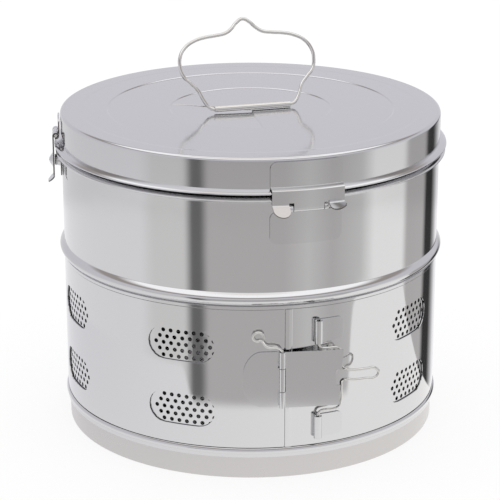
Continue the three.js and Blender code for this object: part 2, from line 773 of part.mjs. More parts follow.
function bailBracket(side) {
  const inner = drumRadius + seat;
  const outer = inner + fixedLeafSheet;
  const middle = bailAxis.z + side * bracketSpread;
  const [low, high] = [middle - bracketHeight / 2, middle + bracketHeight / 2];
  const right = bailAxis.x + bracketWidth;
  const cornerX = right - bracketCorner;
  const outline = new THREE.Shape();
  outline.moveTo(bailAxis.x, low);
  outline.lineTo(cornerX, low);
  outline.absarc(cornerX, low + bracketCorner, bracketCorner, -Math.PI / 2, 0);
  outline.lineTo(right, high - bracketCorner);
  outline.absarc(cornerX, high - bracketCorner, bracketCorner, 0, Math.PI / 2);
  outline.lineTo(bailAxis.x, high);
  const plate = band(inner, outer, low - overrun, high + overrun)
    .intersect(prism(outline, inner - overrun, outer + overrun));
  const bore = bracketRollRadius - bracketRollWall;
  const roll = post(bailAxis.x, bailAxis.y, bracketRollRadius, bore, low, high);
  const inside = post(bailAxis.x, bailAxis.y, bore, 0, low - overrun, high + overrun);
  return plate.add(roll).subtract(inside);
}

function bailStrand(side) {
  const rollEnd = bracketSpread - bracketHeight / 2;
  const frame = [
    [0, rollEnd + bailEnd],
    [0, rollEnd],
    [bailBend / 2, bailShoulder + bailBend / 3],
    [bailBend * 2, bailShoulder],
    [bailReach - bailBend * 2, bailShoulder],
    [bailReach - bailBend / 2, bailShoulder - bailBend / 3],
    [bailReach, bailShoulder - bailBend],
  ];
  const hairpin = [
    [bailReach, bailHairpinHalf + bailBend * 2, 0],
    [bailReach + bailBend / 6, bailHairpinHalf + bailBend / 2, 0],
    [bailReach + bailBend, bailHairpinHalf, bailRise / 2],
    [bailReach + 2.5 * bailBend, bailHairpinHalf, bailRise],
    [bailTip - 3 * bailBend, bailHairpinHalf * 1.2, bailRise],
    [bailTip - bailBend, bailHairpinHalf, bailRise],
  ];
  return [
    ...frame.map(([along, up]) => new THREE.Vector3(along, 0, side * up)),
    ...hairpin.map(([along, up, out]) => new THREE.Vector3(along, -out, bailHairpinLift + side * up)),
  ];
}

function bailPoints() {
  const tip = new THREE.Vector3(bailTip, -bailRise, bailHairpinLift);
  return [...bailStrand(1), tip, ...bailStrand(-1).reverse()];
}

function clampBail() {
  return wire(bailPoints(), bailWireRadius, bailSteps, 0.5);
}

// The assembly

function latchGroup(name, angle) {
  const group = new THREE.Group();
  group.rotation.z = angle * degrees;
  group.add(
    piece(`latch_leaf_${name}`, latchLeaf(angle), polished),
    piece(`latch_pin_${name}`, latchPin(), wireSteel),
    piece(`hasp_${name}`, hasp(), polished),
    piece(`latch_stud_${name}`, latchStud(angle), polished),
  );
  return group;
}

function bandGroup() {
  const group = new THREE.Group();
  group.rotation.z = bandTurn * degrees;
  const plate = piece('clamp_plate', clampPlate(), polished);
  plate.position.copy(clampAxis);
  plate.rotation.z = -clampPlateTilt * degrees;
  const bail = piece('clamp_bail', clampBail(), wireSteel);
  bail.position.copy(bailAxis);
  bail.rotation.z = -bailTilt * degrees;
  group.add(
    piece('vent_band', ventBand(), polished),
    piece('clamp_fixed_leaf', clampFixedLeaf(), polished),
    piece('clamp_hinge_pin', clampHingePin(), wireSteel),
    piece('bail_bracket_upper', bailBracket(1), polished),
    piece('bail_bracket_lower', bailBracket(-1), polished),
    plate,
    bail,
  );
  return group;
}

const drum = new THREE.Group();
drum.position.y = axisSetBack;
drum.add(
  piece('drum_shell', drumShell(), polished),
  piece('drum_floor', drumFloor(), softSteel),
  piece('base_ring', baseRing(), softSteel),
  piece('lid_shell', lidShell(), polished),
  piece('handle_tube', handleTube(), polished),
  piece('lid_handle', lidHandle(), wireSteel),
  piece('hinge_lid_leaf', hingeLidLeaf(), polished),
  piece('hinge_body_leaf', hingeBodyLeaf(), polished),
  piece('hinge_pin', hingePin(), wireSteel),
  latchGroup('left', -latchAngle),
  latchGroup('right', latchAngle),
  bandGroup(),
);

export default drum;
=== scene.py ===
# The looks of a polished stainless steel sterilization drum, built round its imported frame.
# Pieces are modelled in millimetres, in the frame's axes, and scaled to metres when finished.
import math
import random

import bpy
from mathutils import Matrix, Vector


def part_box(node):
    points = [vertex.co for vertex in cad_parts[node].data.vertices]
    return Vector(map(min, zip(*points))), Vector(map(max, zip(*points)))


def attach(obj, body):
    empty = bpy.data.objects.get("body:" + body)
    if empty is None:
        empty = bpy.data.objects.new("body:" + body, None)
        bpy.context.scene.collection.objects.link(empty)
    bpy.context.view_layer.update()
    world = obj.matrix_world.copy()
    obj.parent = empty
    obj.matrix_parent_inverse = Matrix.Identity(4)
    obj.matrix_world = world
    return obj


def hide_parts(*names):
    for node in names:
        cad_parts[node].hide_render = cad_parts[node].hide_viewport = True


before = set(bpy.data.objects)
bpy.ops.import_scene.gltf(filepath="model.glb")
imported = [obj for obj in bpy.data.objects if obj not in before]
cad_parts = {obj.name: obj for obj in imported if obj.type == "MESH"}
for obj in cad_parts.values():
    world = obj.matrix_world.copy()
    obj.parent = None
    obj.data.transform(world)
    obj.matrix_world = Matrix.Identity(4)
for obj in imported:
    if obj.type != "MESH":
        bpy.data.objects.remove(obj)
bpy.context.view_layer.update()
shell_low, shell_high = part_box("drum_shell")

MM = 0.001
# The drum's axis stands a little behind the origin; pieces are modelled round it and then set back
AXIS = Vector((0, (shell_low[1] + shell_high[1]) / 2, 0))
TURN = 2 * math.pi
RING_STEPS = 240

# Drum body, in millimetres
DRUM_RADIUS = 140
SHEET = 1
SEAT = 0.3
FOOT_HEIGHT = 16.5
FOOT_RADIUS = 138.6
FOOT_SHEET = 1.2
FOOT_FLANGE = 9
FOOT_CURL = 1.4
SHELL_BOTTOM = FOOT_HEIGHT + SEAT
LIP_PROUD = 0.4
LOWER_BEAD_Z = SHELL_BOTTOM + 2.6
LOWER_BEAD_HEIGHT = 4.4
LOWER_BEAD_PROUD = 1
GROOVE_BOTTOM = LOWER_BEAD_Z + LOWER_BEAD_HEIGHT
BAND_HEIGHT = 104
BAND_SHEET = 0.7
BAND_END_PLAY = 0.35
GROOVE_RADIUS = DRUM_RADIUS - BAND_SHEET - 0.5
GROOVE_TOP = GROOVE_BOTTOM + BAND_HEIGHT + 2 * BAND_END_PLAY
MID_LIP_HEIGHT = 2.3
MID_GROOVE_HEIGHT = 0.5
MID_GROOVE_DEPTH = 0.4
MID_BEAD_Z = GROOVE_TOP + MID_LIP_HEIGHT + MID_GROOVE_HEIGHT
MID_BEAD_HEIGHT = 9.8
MID_BEAD_PROUD = 3.2
RIM_BEAD_Z = MID_BEAD_Z + MID_BEAD_HEIGHT + 65.2
RIM_BEAD_HEIGHT = 4.5
RIM_BEAD_PROUD = 4.6
NECK_RADIUS = DRUM_RADIUS - 1.6
RIM_TOP = RIM_BEAD_Z + RIM_BEAD_HEIGHT
NECK_TOP = RIM_TOP + 13.5
FLOOR_SHEET = 1.2
FLOOR_UPSTAND = 7

# Vent band, its windows and the perforations behind them
BAND_TURN = math.radians(1.6)
WINDOW_WIDTH = 50.5
WINDOW_HEIGHT = 24.2
WINDOW_ROWS_Z = (GROOVE_BOTTOM + GROOVE_TOP) / 2 - 1.4
WINDOW_ROW_SPACING = 48.5
WINDOWS_PER_ROW = 7
CLAMP_ARC = math.radians(76.6)
PATCH_TURN = math.radians(3.3)
HOLE_RADIUS = 1.55
HOLE_PITCH = 5.82
HOLE_ROW_PITCH = 4.7
HOLE_ROW_COUNTS = (7, 8, 9, 8, 7)
HOLE_SIDES = 16
SLIT_ANGLE = math.radians(-7.7)
SLIT_WIDTH = 1
CUTTER_DEPTH = 8
HEM_WIDTH = 4.8
HEM_PROUD = 0.5

# Lid
LID_BOTTOM = RIM_TOP + 0.5
LID_TOP = LID_BOTTOM + 26.7
SKIRT_RADIUS = DRUM_RADIUS + 0.6
LID_BEAD_HEIGHT = 4.8
LID_BEAD_PROUD = 4.7
LID_BEAD_RADIUS = SKIRT_RADIUS + LID_BEAD_PROUD
LID_CORNER = 2.4
# Pressed steps of the lid's top: radius, drop and the width over which it drops
LID_STEPS = ((127, 0.12, 3), (106.4, 0.56, 1.4), (60.2, 0.52, 1.4))
PANEL_TOP = LID_TOP - 1.2

# Sheet fittings
LEAF = 1
OVER_BEAD = LID_BEAD_RADIUS + SEAT + LEAF / 2
ON_SKIRT = SKIRT_RADIUS + SEAT + LEAF / 2
ON_WALL = DRUM_RADIUS + SEAT + LEAF / 2
BEND_Z = LID_BOTTOM + LID_BEAD_HEIGHT + 1.4
BEND_RUN = 1.8
CURL_MIDDLE = 2.05
# How far each strip rolls round its pin, in degrees
TONGUE_ROLL = 305
KNUCKLE_ROLL = 300
LATCH_ROLL = 300
HASP_ROLL = 290
FIXED_LEAF_ROLL = 290
FLAP_ROLL = 325
BRACKET_WRAP = 285
# Widths of the strips that a blank is cut into before it is formed
WIDE_SLICE = 1.6
ROLL_SLICE = 0.4

# Handle on the lid
HANDLE_WIRE = 1.3
HANDLE_TUBE = 2.2
HANDLE_TUBE_WALL = 0.6
HANDLE_TUBE_LENGTH = 58
HANDLE_FORWARD = 6
HANDLE_LEAN = math.radians(25)
HANDLE_HALF_WIDTH = 51.3
HANDLE_HEIGHT = 66
HANDLE_Z = PANEL_TOP + SEAT + HANDLE_TUBE
HANDLE_WIDTH_SHARES = (
    0.02, 0.3, 0.57, 0.612, 0.65, 0.69, 0.73, 0.775, 0.87, 0.962,
    1, 0.988, 0.9, 0.745, 0.58, 0.42, 0.27, 0.175, 0.1, 0,
)
HANDLE_HEIGHT_SHARES = (
    0, 0, 0, 0.008, 0.03, 0.075, 0.14, 0.22, 0.305, 0.385,
    0.5, 0.6, 0.71, 0.782, 0.814, 0.828, 0.85, 0.9, 0.96, 1,
)

# Hinge at the front
HINGE_WIDTH = 52
HINGE_TOP = LID_TOP - 2.8
HINGE_CORNER = 5
HINGE_PIN_RADIUS = 1.25
HINGE_PIN_Z = LID_BOTTOM - 8.5
HINGE_AXIS = OVER_BEAD - CURL_MIDDLE
TONGUE_WIDTH = 21.6
EAR_ROOT_Z = LID_BOTTOM - 5
EAR_WIDTH = 11.7
EAR_LENGTH = 11.2
# The left ear's flare, and the right ear's at its two sides: it is twisted like a horn
EAR_FLARES = (math.radians(55), math.radians(72), math.radians(92))
EAR_BEND = 1.6
BODY_LEAF_TOP = HINGE_PIN_Z - 3.3
BODY_LEAF_BOTTOM = BODY_LEAF_TOP - 23.2
KNUCKLE_WIDTH = 2.8
KNUCKLE_GAP = 0.45

# Latches at either side
LATCH_ANGLE = math.radians(101.25)
LATCH_PIN_Z = LID_BOTTOM + LID_BEAD_HEIGHT + 4.9
LATCH_LEAF_WIDTH = 22
LATCH_LEAF_TOP = LID_TOP - 4
LATCH_LEAF_EDGE = LATCH_PIN_Z + 4.6
LATCH_TONGUE = 10.8
LATCH_GAP = 0.5
LATCH_AXIS = OVER_BEAD - CURL_MIDDLE
HASP_MIDDLE = LATCH_AXIS + CURL_MIDDLE
HASP_WIDTH = 19.2
HASP_BOTTOM = LATCH_PIN_Z - 31.8
HASP_TAB_WIDTH = 12
HASP_TAB_LENGTH = 6.5
HASP_TAB_FLARE = math.radians(45)
DOME_Z = LATCH_PIN_Z - 20.4
DOME_RADIUS = 4.5
DOME_HEIGHT = 3
STUD_TIP = 4.2
STUD_BASE = 4.9
STUD_PLATE = (20, 15.4)
STUD_PLATE_DROP = 2.6

# Band clamp
CLAMP_Z = 76.5
CLAMP_ANGLE = math.radians(-8.6)
CLAMP_AXIS_RADIUS = 142.9
CLAMP_KNUCKLE = 2.1
CLAMP_SHEET = 0.8
CLAMP_CURL = CLAMP_KNUCKLE - CLAMP_SHEET / 2
CLAMP_PIN = 1
# Radius of the small bend where the flap's sheet leaves its roll
CLAMP_FILLET = 0.8
CLAMP_MIDDLE_KNUCKLE = 16.9
CLAMP_GAP = 0.4
FIXED_LEAF_WIDTH = 26.6
FIXED_LEAF_HEIGHT = 41.4
FIXED_LEAF_ROUND = 13
CLAMP_PLATE_LENGTH = 43.5
CLAMP_PLATE_HEIGHT = 41.8
CLAMP_PLATE_TILT = math.radians(9.6)
CLAMP_PLATE_SLANT = 2.8
NOTCH_DEPTH = 5.4
NOTCH_HEIGHT = 11.8
EYE_ANGLE = math.radians(-15.5)
EYE_LIFT = 32.7
EYE_RADIUS = 3.5
BRACKET_SPREAD = 36
BRACKET_ANGLE = math.radians(1.9)
BRACKET_AXIS_RADIUS = 143.2
BRACKET_ROLL = 2.9
BRACKET_HEIGHT = 17
BRACKET_WIDTH = 19.8
BRACKET_CORNER = 4
BAIL_WIRE = 1
BAIL_DROP = 2.1
BAIL_TILT = math.radians(2.4)
BAIL_REACH = 17
BAIL_TIP = 43.2
BAIL_SHOULDER = 23.4
BAIL_BEND = 3
BAIL_HAIRPIN = 3.7
BAIL_HAIRPIN_LIFT = 3
BAIL_RISE = 4.6
BAIL_END = 8


# Modelling steps

def start_alone():
    bpy.ops.object.select_all(action="DESELECT")


def edit_all(piece):
    start_alone()
    bpy.context.view_layer.objects.active = piece
    piece.select_set(True)
    bpy.ops.object.mode_set(mode="EDIT")
    bpy.ops.mesh.select_all(action="SELECT")


def edit_done():
    bpy.ops.object.mode_set(mode="OBJECT")


def closed_line(name, points, filled=False):
    """A circle primitive with one vertex per point, shaped to the points."""
    start_alone()
    bpy.ops.mesh.primitive_circle_add(vertices=len(points), fill_type="NGON" if filled else "NOTHING")
    piece = bpy.context.object
    piece.name = name
    for vertex, point in zip(piece.data.vertices, points):
        vertex.co = point
    return piece


def spun(name, section, steps=RING_STEPS, centre=(0, 0)):
    """A closed section of (radius, height) points, spun once round a vertical axis."""
    x, y = centre
    piece = closed_line(name, [(x + r, y, z) for r, z in section])
    edit_all(piece)
    bpy.ops.mesh.spin(steps=steps, angle=TURN, center=(x, y, 0), axis=(0, 0, 1))
    bpy.ops.mesh.select_all(action="SELECT")
    bpy.ops.mesh.remove_doubles(threshold=0.002)
    bpy.ops.mesh.normals_make_consistent(inside=False)
    edit_done()
    return piece


def blank(name, points):
    """A flat sheet blank in X and Z, its front towards -Y."""
    piece = closed_line(name, [(x, 0, z) for x, z in points], filled=True)
    piece.data.update()
    if piece.data.polygons[0].normal.y > 0:
        edit_all(piece)
        bpy.ops.mesh.flip_normals()
        edit_done()
    return piece


def sliced(piece, across, places):
    """Cuts the piece into strips at places along X or Z, so that it can be formed."""
    edit_all(piece)
    for place in places:
        bpy.ops.mesh.select_all(action="SELECT")
        spot = (place, 0, 0) if across == "X" else (0, 0, place)
        normal = (1, 0, 0) if across == "X" else (0, 0, 1)
        bpy.ops.mesh.bisect(plane_co=spot, plane_no=normal)
    edit_done()
    return piece


def spread(low, high, step):
    count = max(1, round((high - low) / step))
    return [low + (high - low) * i / count for i in range(1, count)]


def formed(piece, rule):
    """Moves each vertex of a blank to where the rule puts its x and z."""
    for vertex in piece.data.vertices:
        vertex.co = rule(vertex.co.x, vertex.co.z)
    piece.data.update()
    return piece


def modified(piece, kind, **settings):
    start_alone()
    bpy.context.view_layer.objects.active = piece
    piece.select_set(True)
    modifier = piece.modifiers.new(kind.lower(), kind)
    for key, value in settings.items():
        setattr(modifier, key, value)
    bpy.ops.object.modifier_apply(modifier=modifier.name)
    return piece


def thickened(piece, sheet, edges=True):
    """Gives a blank its sheet thickness; its cut edges get the second material, the dark edge steel
    that paints shade on them.
    """
    if edges:
        piece.data.materials.append(fitting_sheet)
        piece.data.materials.append(painted_shade_edge)
    return modified(
        piece, "SOLIDIFY", thickness=sheet, offset=0, use_even_offset=True,
        material_offset_rim=1 if edges else 0,
    )


def softened(piece, width=0.3, segments=3, angle=40):
    """Breaks the sharp edges as tumbling and polishing do."""
    return modified(
        piece, "BEVEL", width=width, segments=segments, limit_method="ANGLE",
        angle_limit=math.radians(angle), harden_normals=False,
    )


def cut(piece, cutter):
    modified(piece, "BOOLEAN", operation="DIFFERENCE", solver="MANIFOLD", object=cutter)
    bpy.data.objects.remove(cutter)
    return piece


def joined(pieces):
    start_alone()
    bpy.context.view_layer.objects.active = pieces[0]
    for piece in pieces:
        piece.select_set(True)
    bpy.ops.object.join()
    return pieces[0]


def copied(piece, name):
    twin = piece.copy()
    twin.data = piece.data.copy()
    twin.name = name
    bpy.context.scene.collection.objects.link(twin)
    return twin


def moved(piece, place=(0, 0, 0), turn=0, first=None):
    """Turns the piece's mesh about the vertical axis and moves it."""
    if first is not None:
        piece.data.transform(first)
    piece.data.transform(Matrix.Translation(place) @ Matrix.Rotation(turn, 4, "Z"))
    return piece


def wire(name, points, radius, sides=5, steps=10):
    """A round wire along smooth points."""
    start_alone()
    bpy.ops.curve.primitive_bezier_curve_add()
    piece = bpy.context.object
    piece.name = name
    curve = piece.data
    spline = curve.splines[0]
    spline.bezier_points.add(len(points) - 2)
    for knot, point in zip(spline.bezier_points, points):
        knot.co = point
        knot.handle_left_type = "AUTO"
        knot.handle_right_type = "AUTO"
    spline.resolution_u = steps
    curve.bevel_depth = radius
    curve.bevel_resolution = sides
    curve.use_fill_caps = True
    start_alone()
    piece.select_set(True)
    bpy.ops.object.convert(target="MESH")
    return softened(piece, width=radius / 4, segments=2, angle=60)


def bump_points(base, proud, low, height, steps):
    return [
        (base + proud * math.sin(math.pi * i / steps), low + height * i / steps)
        for i in range(steps + 1)
    ]


def arc_points(centre, radius, start, end, steps):
    """Points round an arc, in degrees, anticlockwise from the first axis."""
    turns = [math.radians(start + (end - start) * i / steps) for i in range(steps + 1)]
    return [(centre[0] + radius * math.cos(t), centre[1] + radius * math.sin(t)) for t in turns]


def on_arc(angle, radius, z):
    return Vector((radius * math.sin(angle), -radius * math.cos(angle), z))


def round_outline(left, right, low, high, low_corner, high_corner, steps=7):
    points = []
    corners = (
        (right - low_corner, low + low_corner, low_corner, -90),
        (right - high_corner, high - high_corner, high_corner, 0),
        (left + high_corner, high - high_corner, high_corner, 90),
        (left + low_corner, low + low_corner, low_corner, 180),
    )
    for x, z, radius, start in corners:
        points += arc_points((x, z), radius, start, start + 90, steps) if radius > 0 else [(x, z)]
    return points


def wrapped(x, radius, z):
    """A place on the drum's side, x being measured round it at that radius."""
    return on_arc(x / radius, radius, z)


# Materials

def linear(colour):
    """An sRGB hex colour as the linear values that the shaders take."""
    parts = [int(colour[i:i + 2], 16) / 255 for i in (1, 3, 5)]
    return tuple(p / 12.92 if p <= 0.04045 else ((p + 0.055) / 1.055) ** 2.4 for p in parts) + (1,)


def node(tree, kind, inputs=None, **settings):
    """Adds a node with its settings, and a value or a link for each input that is named."""
    made = tree.nodes.new(kind)
    for key, value in settings.items():
        setattr(made, key, value)
    for socket, value in (inputs or {}).items():
        if isinstance(value, bpy.types.NodeSocket):
            tree.links.new(value, made.inputs[socket])
        else:
            made.inputs[socket].default_value = value
    return made


def stainless(name, colour, smooth, dull, lines_mm, line_depth, wave_mm, wave_depth):
    """Stainless steel 1.4301: colour, roughness where it is smooth and dull, and two reliefs.

    Polishing leaves fine lines round the drum, lines_mm apart, and the thin sheet waves a little,
    wave_mm from crest to crest, which bends the reflections as it does on real pressed sheet.
    """
    material = bpy.data.materials.new(name)
    material.use_nodes = True
    tree = material.node_tree
    tree.nodes.clear()
    spot = node(tree, "ShaderNodeTexCoord").outputs["Object"]
    centred = node(tree, "ShaderNodeVectorMath", {0: spot, 1: AXIS}, operation="SUBTRACT")
    place = centred.outputs[0]
    axes = node(tree, "ShaderNodeSeparateXYZ", {0: place})
    flat = node(tree, "ShaderNodeCombineXYZ", {0: axes.outputs[0], 1: axes.outputs[1]})
    away = node(tree, "ShaderNodeVectorMath", {0: flat.outputs[0]}, operation="LENGTH")
    rings = node(tree, "ShaderNodeCombineXYZ", {0: away.outputs["Value"], 1: axes.outputs[2]})
    lines = node(tree, "ShaderNodeVectorMath", {0: rings.outputs[0]}, operation="SCALE")
    lines.inputs["Scale"].default_value = 1 / (lines_mm * MM)
    drift = node(tree, "ShaderNodeVectorMath", {0: place}, operation="SCALE")
    drift.inputs["Scale"].default_value = 1 / (60 * lines_mm * MM)
    both = node(tree, "ShaderNodeVectorMath", {0: lines.outputs[0], 1: drift.outputs[0]},
                operation="ADD")
    fine = node(tree, "ShaderNodeTexNoise", {"Vector": both.outputs[0], "Scale": 1, "Detail": 3})
    soft = node(tree, "ShaderNodeTexNoise", {"Vector": place, "Scale": 1 / (wave_mm * MM), "Detail": 1})
    cloud = node(tree, "ShaderNodeTexNoise", {"Vector": place, "Scale": 22, "Detail": 4})
    shine = node(tree, "ShaderNodeMix", {0: cloud.outputs[0], 2: smooth, 3: dull}, data_type="FLOAT")
    waves = node(tree, "ShaderNodeBump", {"Height": soft.outputs[0], "Distance": wave_depth * MM})
    relief = node(tree, "ShaderNodeBump", {
        "Height": fine.outputs[0], "Distance": line_depth * MM, "Normal": waves.outputs[0],
    })
    steel = node(tree, "ShaderNodeBsdfPrincipled", {
        "Base Color": linear(colour), "Metallic": 1, "Roughness": shine.outputs[0],
        "Normal": relief.outputs[0],
    })
    node(tree, "ShaderNodeOutputMaterial", {"Surface": steel.outputs[0]})
    return material


polished_sheet = stainless("polished_stainless_sheet", "#D0D0D1", 0.04, 0.09, 1.2, 0.0012, 38, 0.05)
polished_lid = stainless("polished_lid_sheet", "#D0D0D2", 0.07, 0.14, 1.0, 0.0015, 55, 0.04)
satin_sheet = stainless("satin_foot_sheet", "#C6C4C3", 0.22, 0.36, 1.4, 0.008, 30, 0.05)
fitting_sheet = stainless("polished_fitting_sheet", "#CECECF", 0.09, 0.17, 0.9, 0.001, 16, 0.03)
bright_wire = stainless("bright_drawn_wire", "#D8D7D4", 0.07, 0.12, 0.8, 0.001, 12, 0.01)
# Rims of the sheet get a darker, rougher steel than its faces. On rims that face sideways or down this
# darkness is painted shade.
painted_shade_edge = stainless("edge_sheet_with_painted_shade", "#6E6A67", 0.3, 0.45, 0.5, 0.004, 6, 0.01)


def dressed(piece, body, cad_node, material, smooth_angle=32):
    """Finishes a piece: scaled to metres, smooth, and standing for its node of the frame."""
    start_alone()
    bpy.context.view_layer.objects.active = piece
    piece.select_set(True)
    piece.scale = (MM, MM, MM)
    bpy.ops.object.transform_apply(location=False, rotation=False, scale=True)
    piece.data.transform(Matrix.Translation(AXIS))
    bpy.ops.object.shade_smooth_by_angle(angle=math.radians(smooth_angle))
    modified(piece, "WEIGHTED_NORMAL", weight=50, keep_sharp=True)
    # Painted shade: rims that face sideways or down keep the dark edge steel, while rims that face up
    # take the polished finish, as if lit from above
    shade_painted_rims = [f.index for f in piece.data.polygons if f.material_index == 1 and f.normal.z < 0.35]
    piece.data.materials.clear()
    piece.data.materials.append(material)
    if shade_painted_rims:
        piece.data.materials.append(painted_shade_edge)
        for index in shade_painted_rims:
            piece.data.polygons[index].material_index = 1
    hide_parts(cad_node)
    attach(piece, body)
    return piece


# Drum body

def drum_wall():
    lip = DRUM_RADIUS + LIP_PROUD
    groove = [(GROOVE_RADIUS, z) for z in spread(GROOVE_BOTTOM, GROOVE_TOP, 4.4)]
    inner_groove = [(GROOVE_RADIUS - SHEET, z) for _, z in reversed(groove)]
    section = [
        (lip, SHELL_BOTTOM),
        *bump_points(lip, LOWER_BEAD_PROUD, LOWER_BEAD_Z, LOWER_BEAD_HEIGHT, 12),
        (GROOVE_RADIUS, GROOVE_BOTTOM),
        *groove,
        (GROOVE_RADIUS, GROOVE_TOP),
        (lip, GROOVE_TOP),
        (lip, GROOVE_TOP + MID_LIP_HEIGHT),
        (DRUM_RADIUS - MID_GROOVE_DEPTH, GROOVE_TOP + MID_LIP_HEIGHT),
        *bump_points(DRUM_RADIUS, MID_BEAD_PROUD, MID_BEAD_Z, MID_BEAD_HEIGHT, 20),
        *[(DRUM_RADIUS, z) for z in spread(MID_BEAD_Z + MID_BEAD_HEIGHT, RIM_BEAD_Z, 8)],
        *bump_points(DRUM_RADIUS, RIM_BEAD_PROUD, RIM_BEAD_Z, RIM_BEAD_HEIGHT, 12),
        (NECK_RADIUS, RIM_TOP),
        (NECK_RADIUS, NECK_TOP),
        (NECK_RADIUS - SHEET, NECK_TOP),
        (NECK_RADIUS - SHEET, RIM_TOP - SHEET),
        (DRUM_RADIUS - SHEET, RIM_TOP - 2 * SHEET),
        (DRUM_RADIUS - SHEET, MID_BEAD_Z),
        (GROOVE_RADIUS - SHEET, GROOVE_TOP - SHEET),
        *inner_groove,
        (GROOVE_RADIUS - SHEET, SHELL_BOTTOM),
    ]
    wall = softened(spun("drum_wall", section), width=0.2)
    return cut(wall, perforations())


def window_places(turn):
    pitch = (TURN - CLAMP_ARC) / (WINDOWS_PER_ROW - 1)
    for row in (-1, 1):
        for i in range(WINDOWS_PER_ROW):
            yield CLAMP_ARC / 2 + i * pitch + turn, WINDOW_ROWS_Z + row * WINDOW_ROW_SPACING / 2


def perforations():
    """Punches for one patch, flared at the face as the real die leaves them, copied to each window."""
    random.seed(7)
    bpy.ops.object.select_all(action="DESELECT")
    bpy.ops.mesh.primitive_cylinder_add(
        vertices=HOLE_SIDES, radius=HOLE_RADIUS, depth=4, rotation=(math.pi / 2, 0, 0),
    )
    punch = bpy.context.object
    bpy.ops.object.transform_apply(rotation=True)
    edit_all(punch)
    bpy.ops.mesh.bisect(plane_co=(0, -0.25, 0), plane_no=(0, 1, 0))
    edit_done()
    for vertex in punch.data.vertices:
        if vertex.co.y < -0.3:
            vertex.co.x *= 1.9
            vertex.co.z *= 1.9
    places = []
    for row, count in enumerate(HOLE_ROW_COUNTS):
        z = (row - (len(HOLE_ROW_COUNTS) - 1) / 2) * HOLE_ROW_PITCH
        for i in range(count):
            places.append(((i - (count - 1) / 2) * HOLE_PITCH, z))
    punches = []
    for angle, middle in window_places(PATCH_TURN):
        for along, up in places:
            x = along + random.uniform(-0.18, 0.18)
            z = middle + up + random.uniform(-0.12, 0.12)
            twin = copied(punch, "punch")
            twin.data.transform(Matrix.Translation((0, -GROOVE_RADIUS, z)))
            twin.data.transform(Matrix.Rotation(angle + x / GROOVE_RADIUS, 4, "Z"))
            punches.append(twin)
    bpy.data.objects.remove(punch)
    return joined(punches)


def drum_floor():
    edge = GROOVE_RADIUS - SHEET - SEAT
    low = SHELL_BOTTOM
    section = [
        (0.5, low), (edge - 2, low),
        *arc_points((edge - 2, low + 2), 2, -90, 0, 5),
        (edge, low + FLOOR_UPSTAND), (edge - FLOOR_SHEET, low + FLOOR_UPSTAND),
        *arc_points((edge - 2, low + 2), 2 - FLOOR_SHEET, 0, -90, 4),
        (0.5, low + FLOOR_SHEET),
    ]
    floor = spun("floor_pan", section)
    return closed_pole(floor)


def closed_pole(piece):
    """Closes the small hole that a spin leaves at the axis."""
    edit_all(piece)
    bpy.ops.mesh.select_all(action="DESELECT")
    edit_done()
    for vertex in piece.data.vertices:
        vertex.select = math.hypot(vertex.co.x, vertex.co.y) < 0.6
    bpy.context.view_layer.objects.active = piece
    bpy.ops.object.mode_set(mode="EDIT")
    bpy.ops.mesh.remove_doubles(threshold=1.1)
    bpy.ops.mesh.select_all(action="SELECT")
    bpy.ops.mesh.normals_make_consistent(inside=False)
    edit_done()
    return piece


def base_ring():
    inner = FOOT_RADIUS - FOOT_SHEET
    section = [
        (FOOT_RADIUS - FOOT_CURL, 0),
        *arc_points((FOOT_RADIUS - FOOT_CURL, FOOT_CURL), FOOT_CURL, -90, 0, 6)[1:],
        *[(FOOT_RADIUS, z) for z in spread(FOOT_CURL, FOOT_HEIGHT - 0.4, 3)],
        *arc_points((FOOT_RADIUS - 0.4, FOOT_HEIGHT - 0.4), 0.4, 0, 90, 3),
        (inner - FOOT_FLANGE, FOOT_HEIGHT),
        (inner - FOOT_FLANGE, FOOT_HEIGHT - FOOT_SHEET),
        (inner, FOOT_HEIGHT - FOOT_SHEET),
        (inner, FOOT_SHEET),
        (inner - FOOT_FLANGE, FOOT_SHEET),
        (inner - FOOT_FLANGE, 0),
    ]
    return spun("foot_ring", section)


# Lid

def lid_panel(drop):
    """The lid's top from its corner to the middle, with its shallow pressed steps."""
    points = []
    level = LID_TOP
    for edge, deep, run in LID_STEPS:
        for i in range(9):
            part = i / 8
            fall = deep * (1 - math.cos(math.pi * part)) / 2
            points.append((edge - run * part, level - fall - drop))
        level -= deep
    return points + [(0.5, level - drop)]


def lid_shell():
    corner = (SKIRT_RADIUS - LID_CORNER, LID_TOP - LID_CORNER)
    section = [
        (SKIRT_RADIUS - SHEET, LID_BOTTOM),
        *bump_points(SKIRT_RADIUS, LID_BEAD_PROUD, LID_BOTTOM, LID_BEAD_HEIGHT, 14),
        *[(SKIRT_RADIUS, z) for z in spread(LID_BOTTOM + LID_BEAD_HEIGHT, corner[1], 4)],
        *arc_points(corner, LID_CORNER, 0, 90, 10),
        *lid_panel(0),
        *reversed(lid_panel(SHEET)),
        *arc_points(corner, LID_CORNER - SHEET, 90, 0, 8),
    ]
    return closed_pole(spun("lid_top", section))


def handle_tube():
    half = HANDLE_TUBE_LENGTH / 2
    bore = HANDLE_TUBE - HANDLE_TUBE_WALL
    section = [(HANDLE_TUBE, -half), (HANDLE_TUBE, half), (bore, half), (bore, -half)]
    tube = spun("handle_sleeve", section, steps=40)
    lay = Matrix.Translation((0, -HANDLE_FORWARD, HANDLE_Z)) @ Matrix.Rotation(math.pi / 2, 4, "Y")
    tube.data.transform(lay)
    return softened(tube, width=0.15)


def lid_handle():
    shares = list(zip(HANDLE_WIDTH_SHARES, HANDLE_HEIGHT_SHARES))
    side = [(w * HANDLE_HALF_WIDTH, h * HANDLE_HEIGHT) for w, h in shares]
    other = [(-x, up) for x, up in reversed(side[:-1])]
    points = [
        (x, up * math.sin(HANDLE_LEAN) - HANDLE_FORWARD, HANDLE_Z + up * math.cos(HANDLE_LEAN))
        for x, up in side + other
    ]
    return wire("handle_wire", points, HANDLE_WIRE)


# Sheet fittings

def eased(share):
    """A share kept between 0 and 1, with a soft start and end."""
    share = min(1, max(0, share))
    return share * share * (3 - 2 * share)


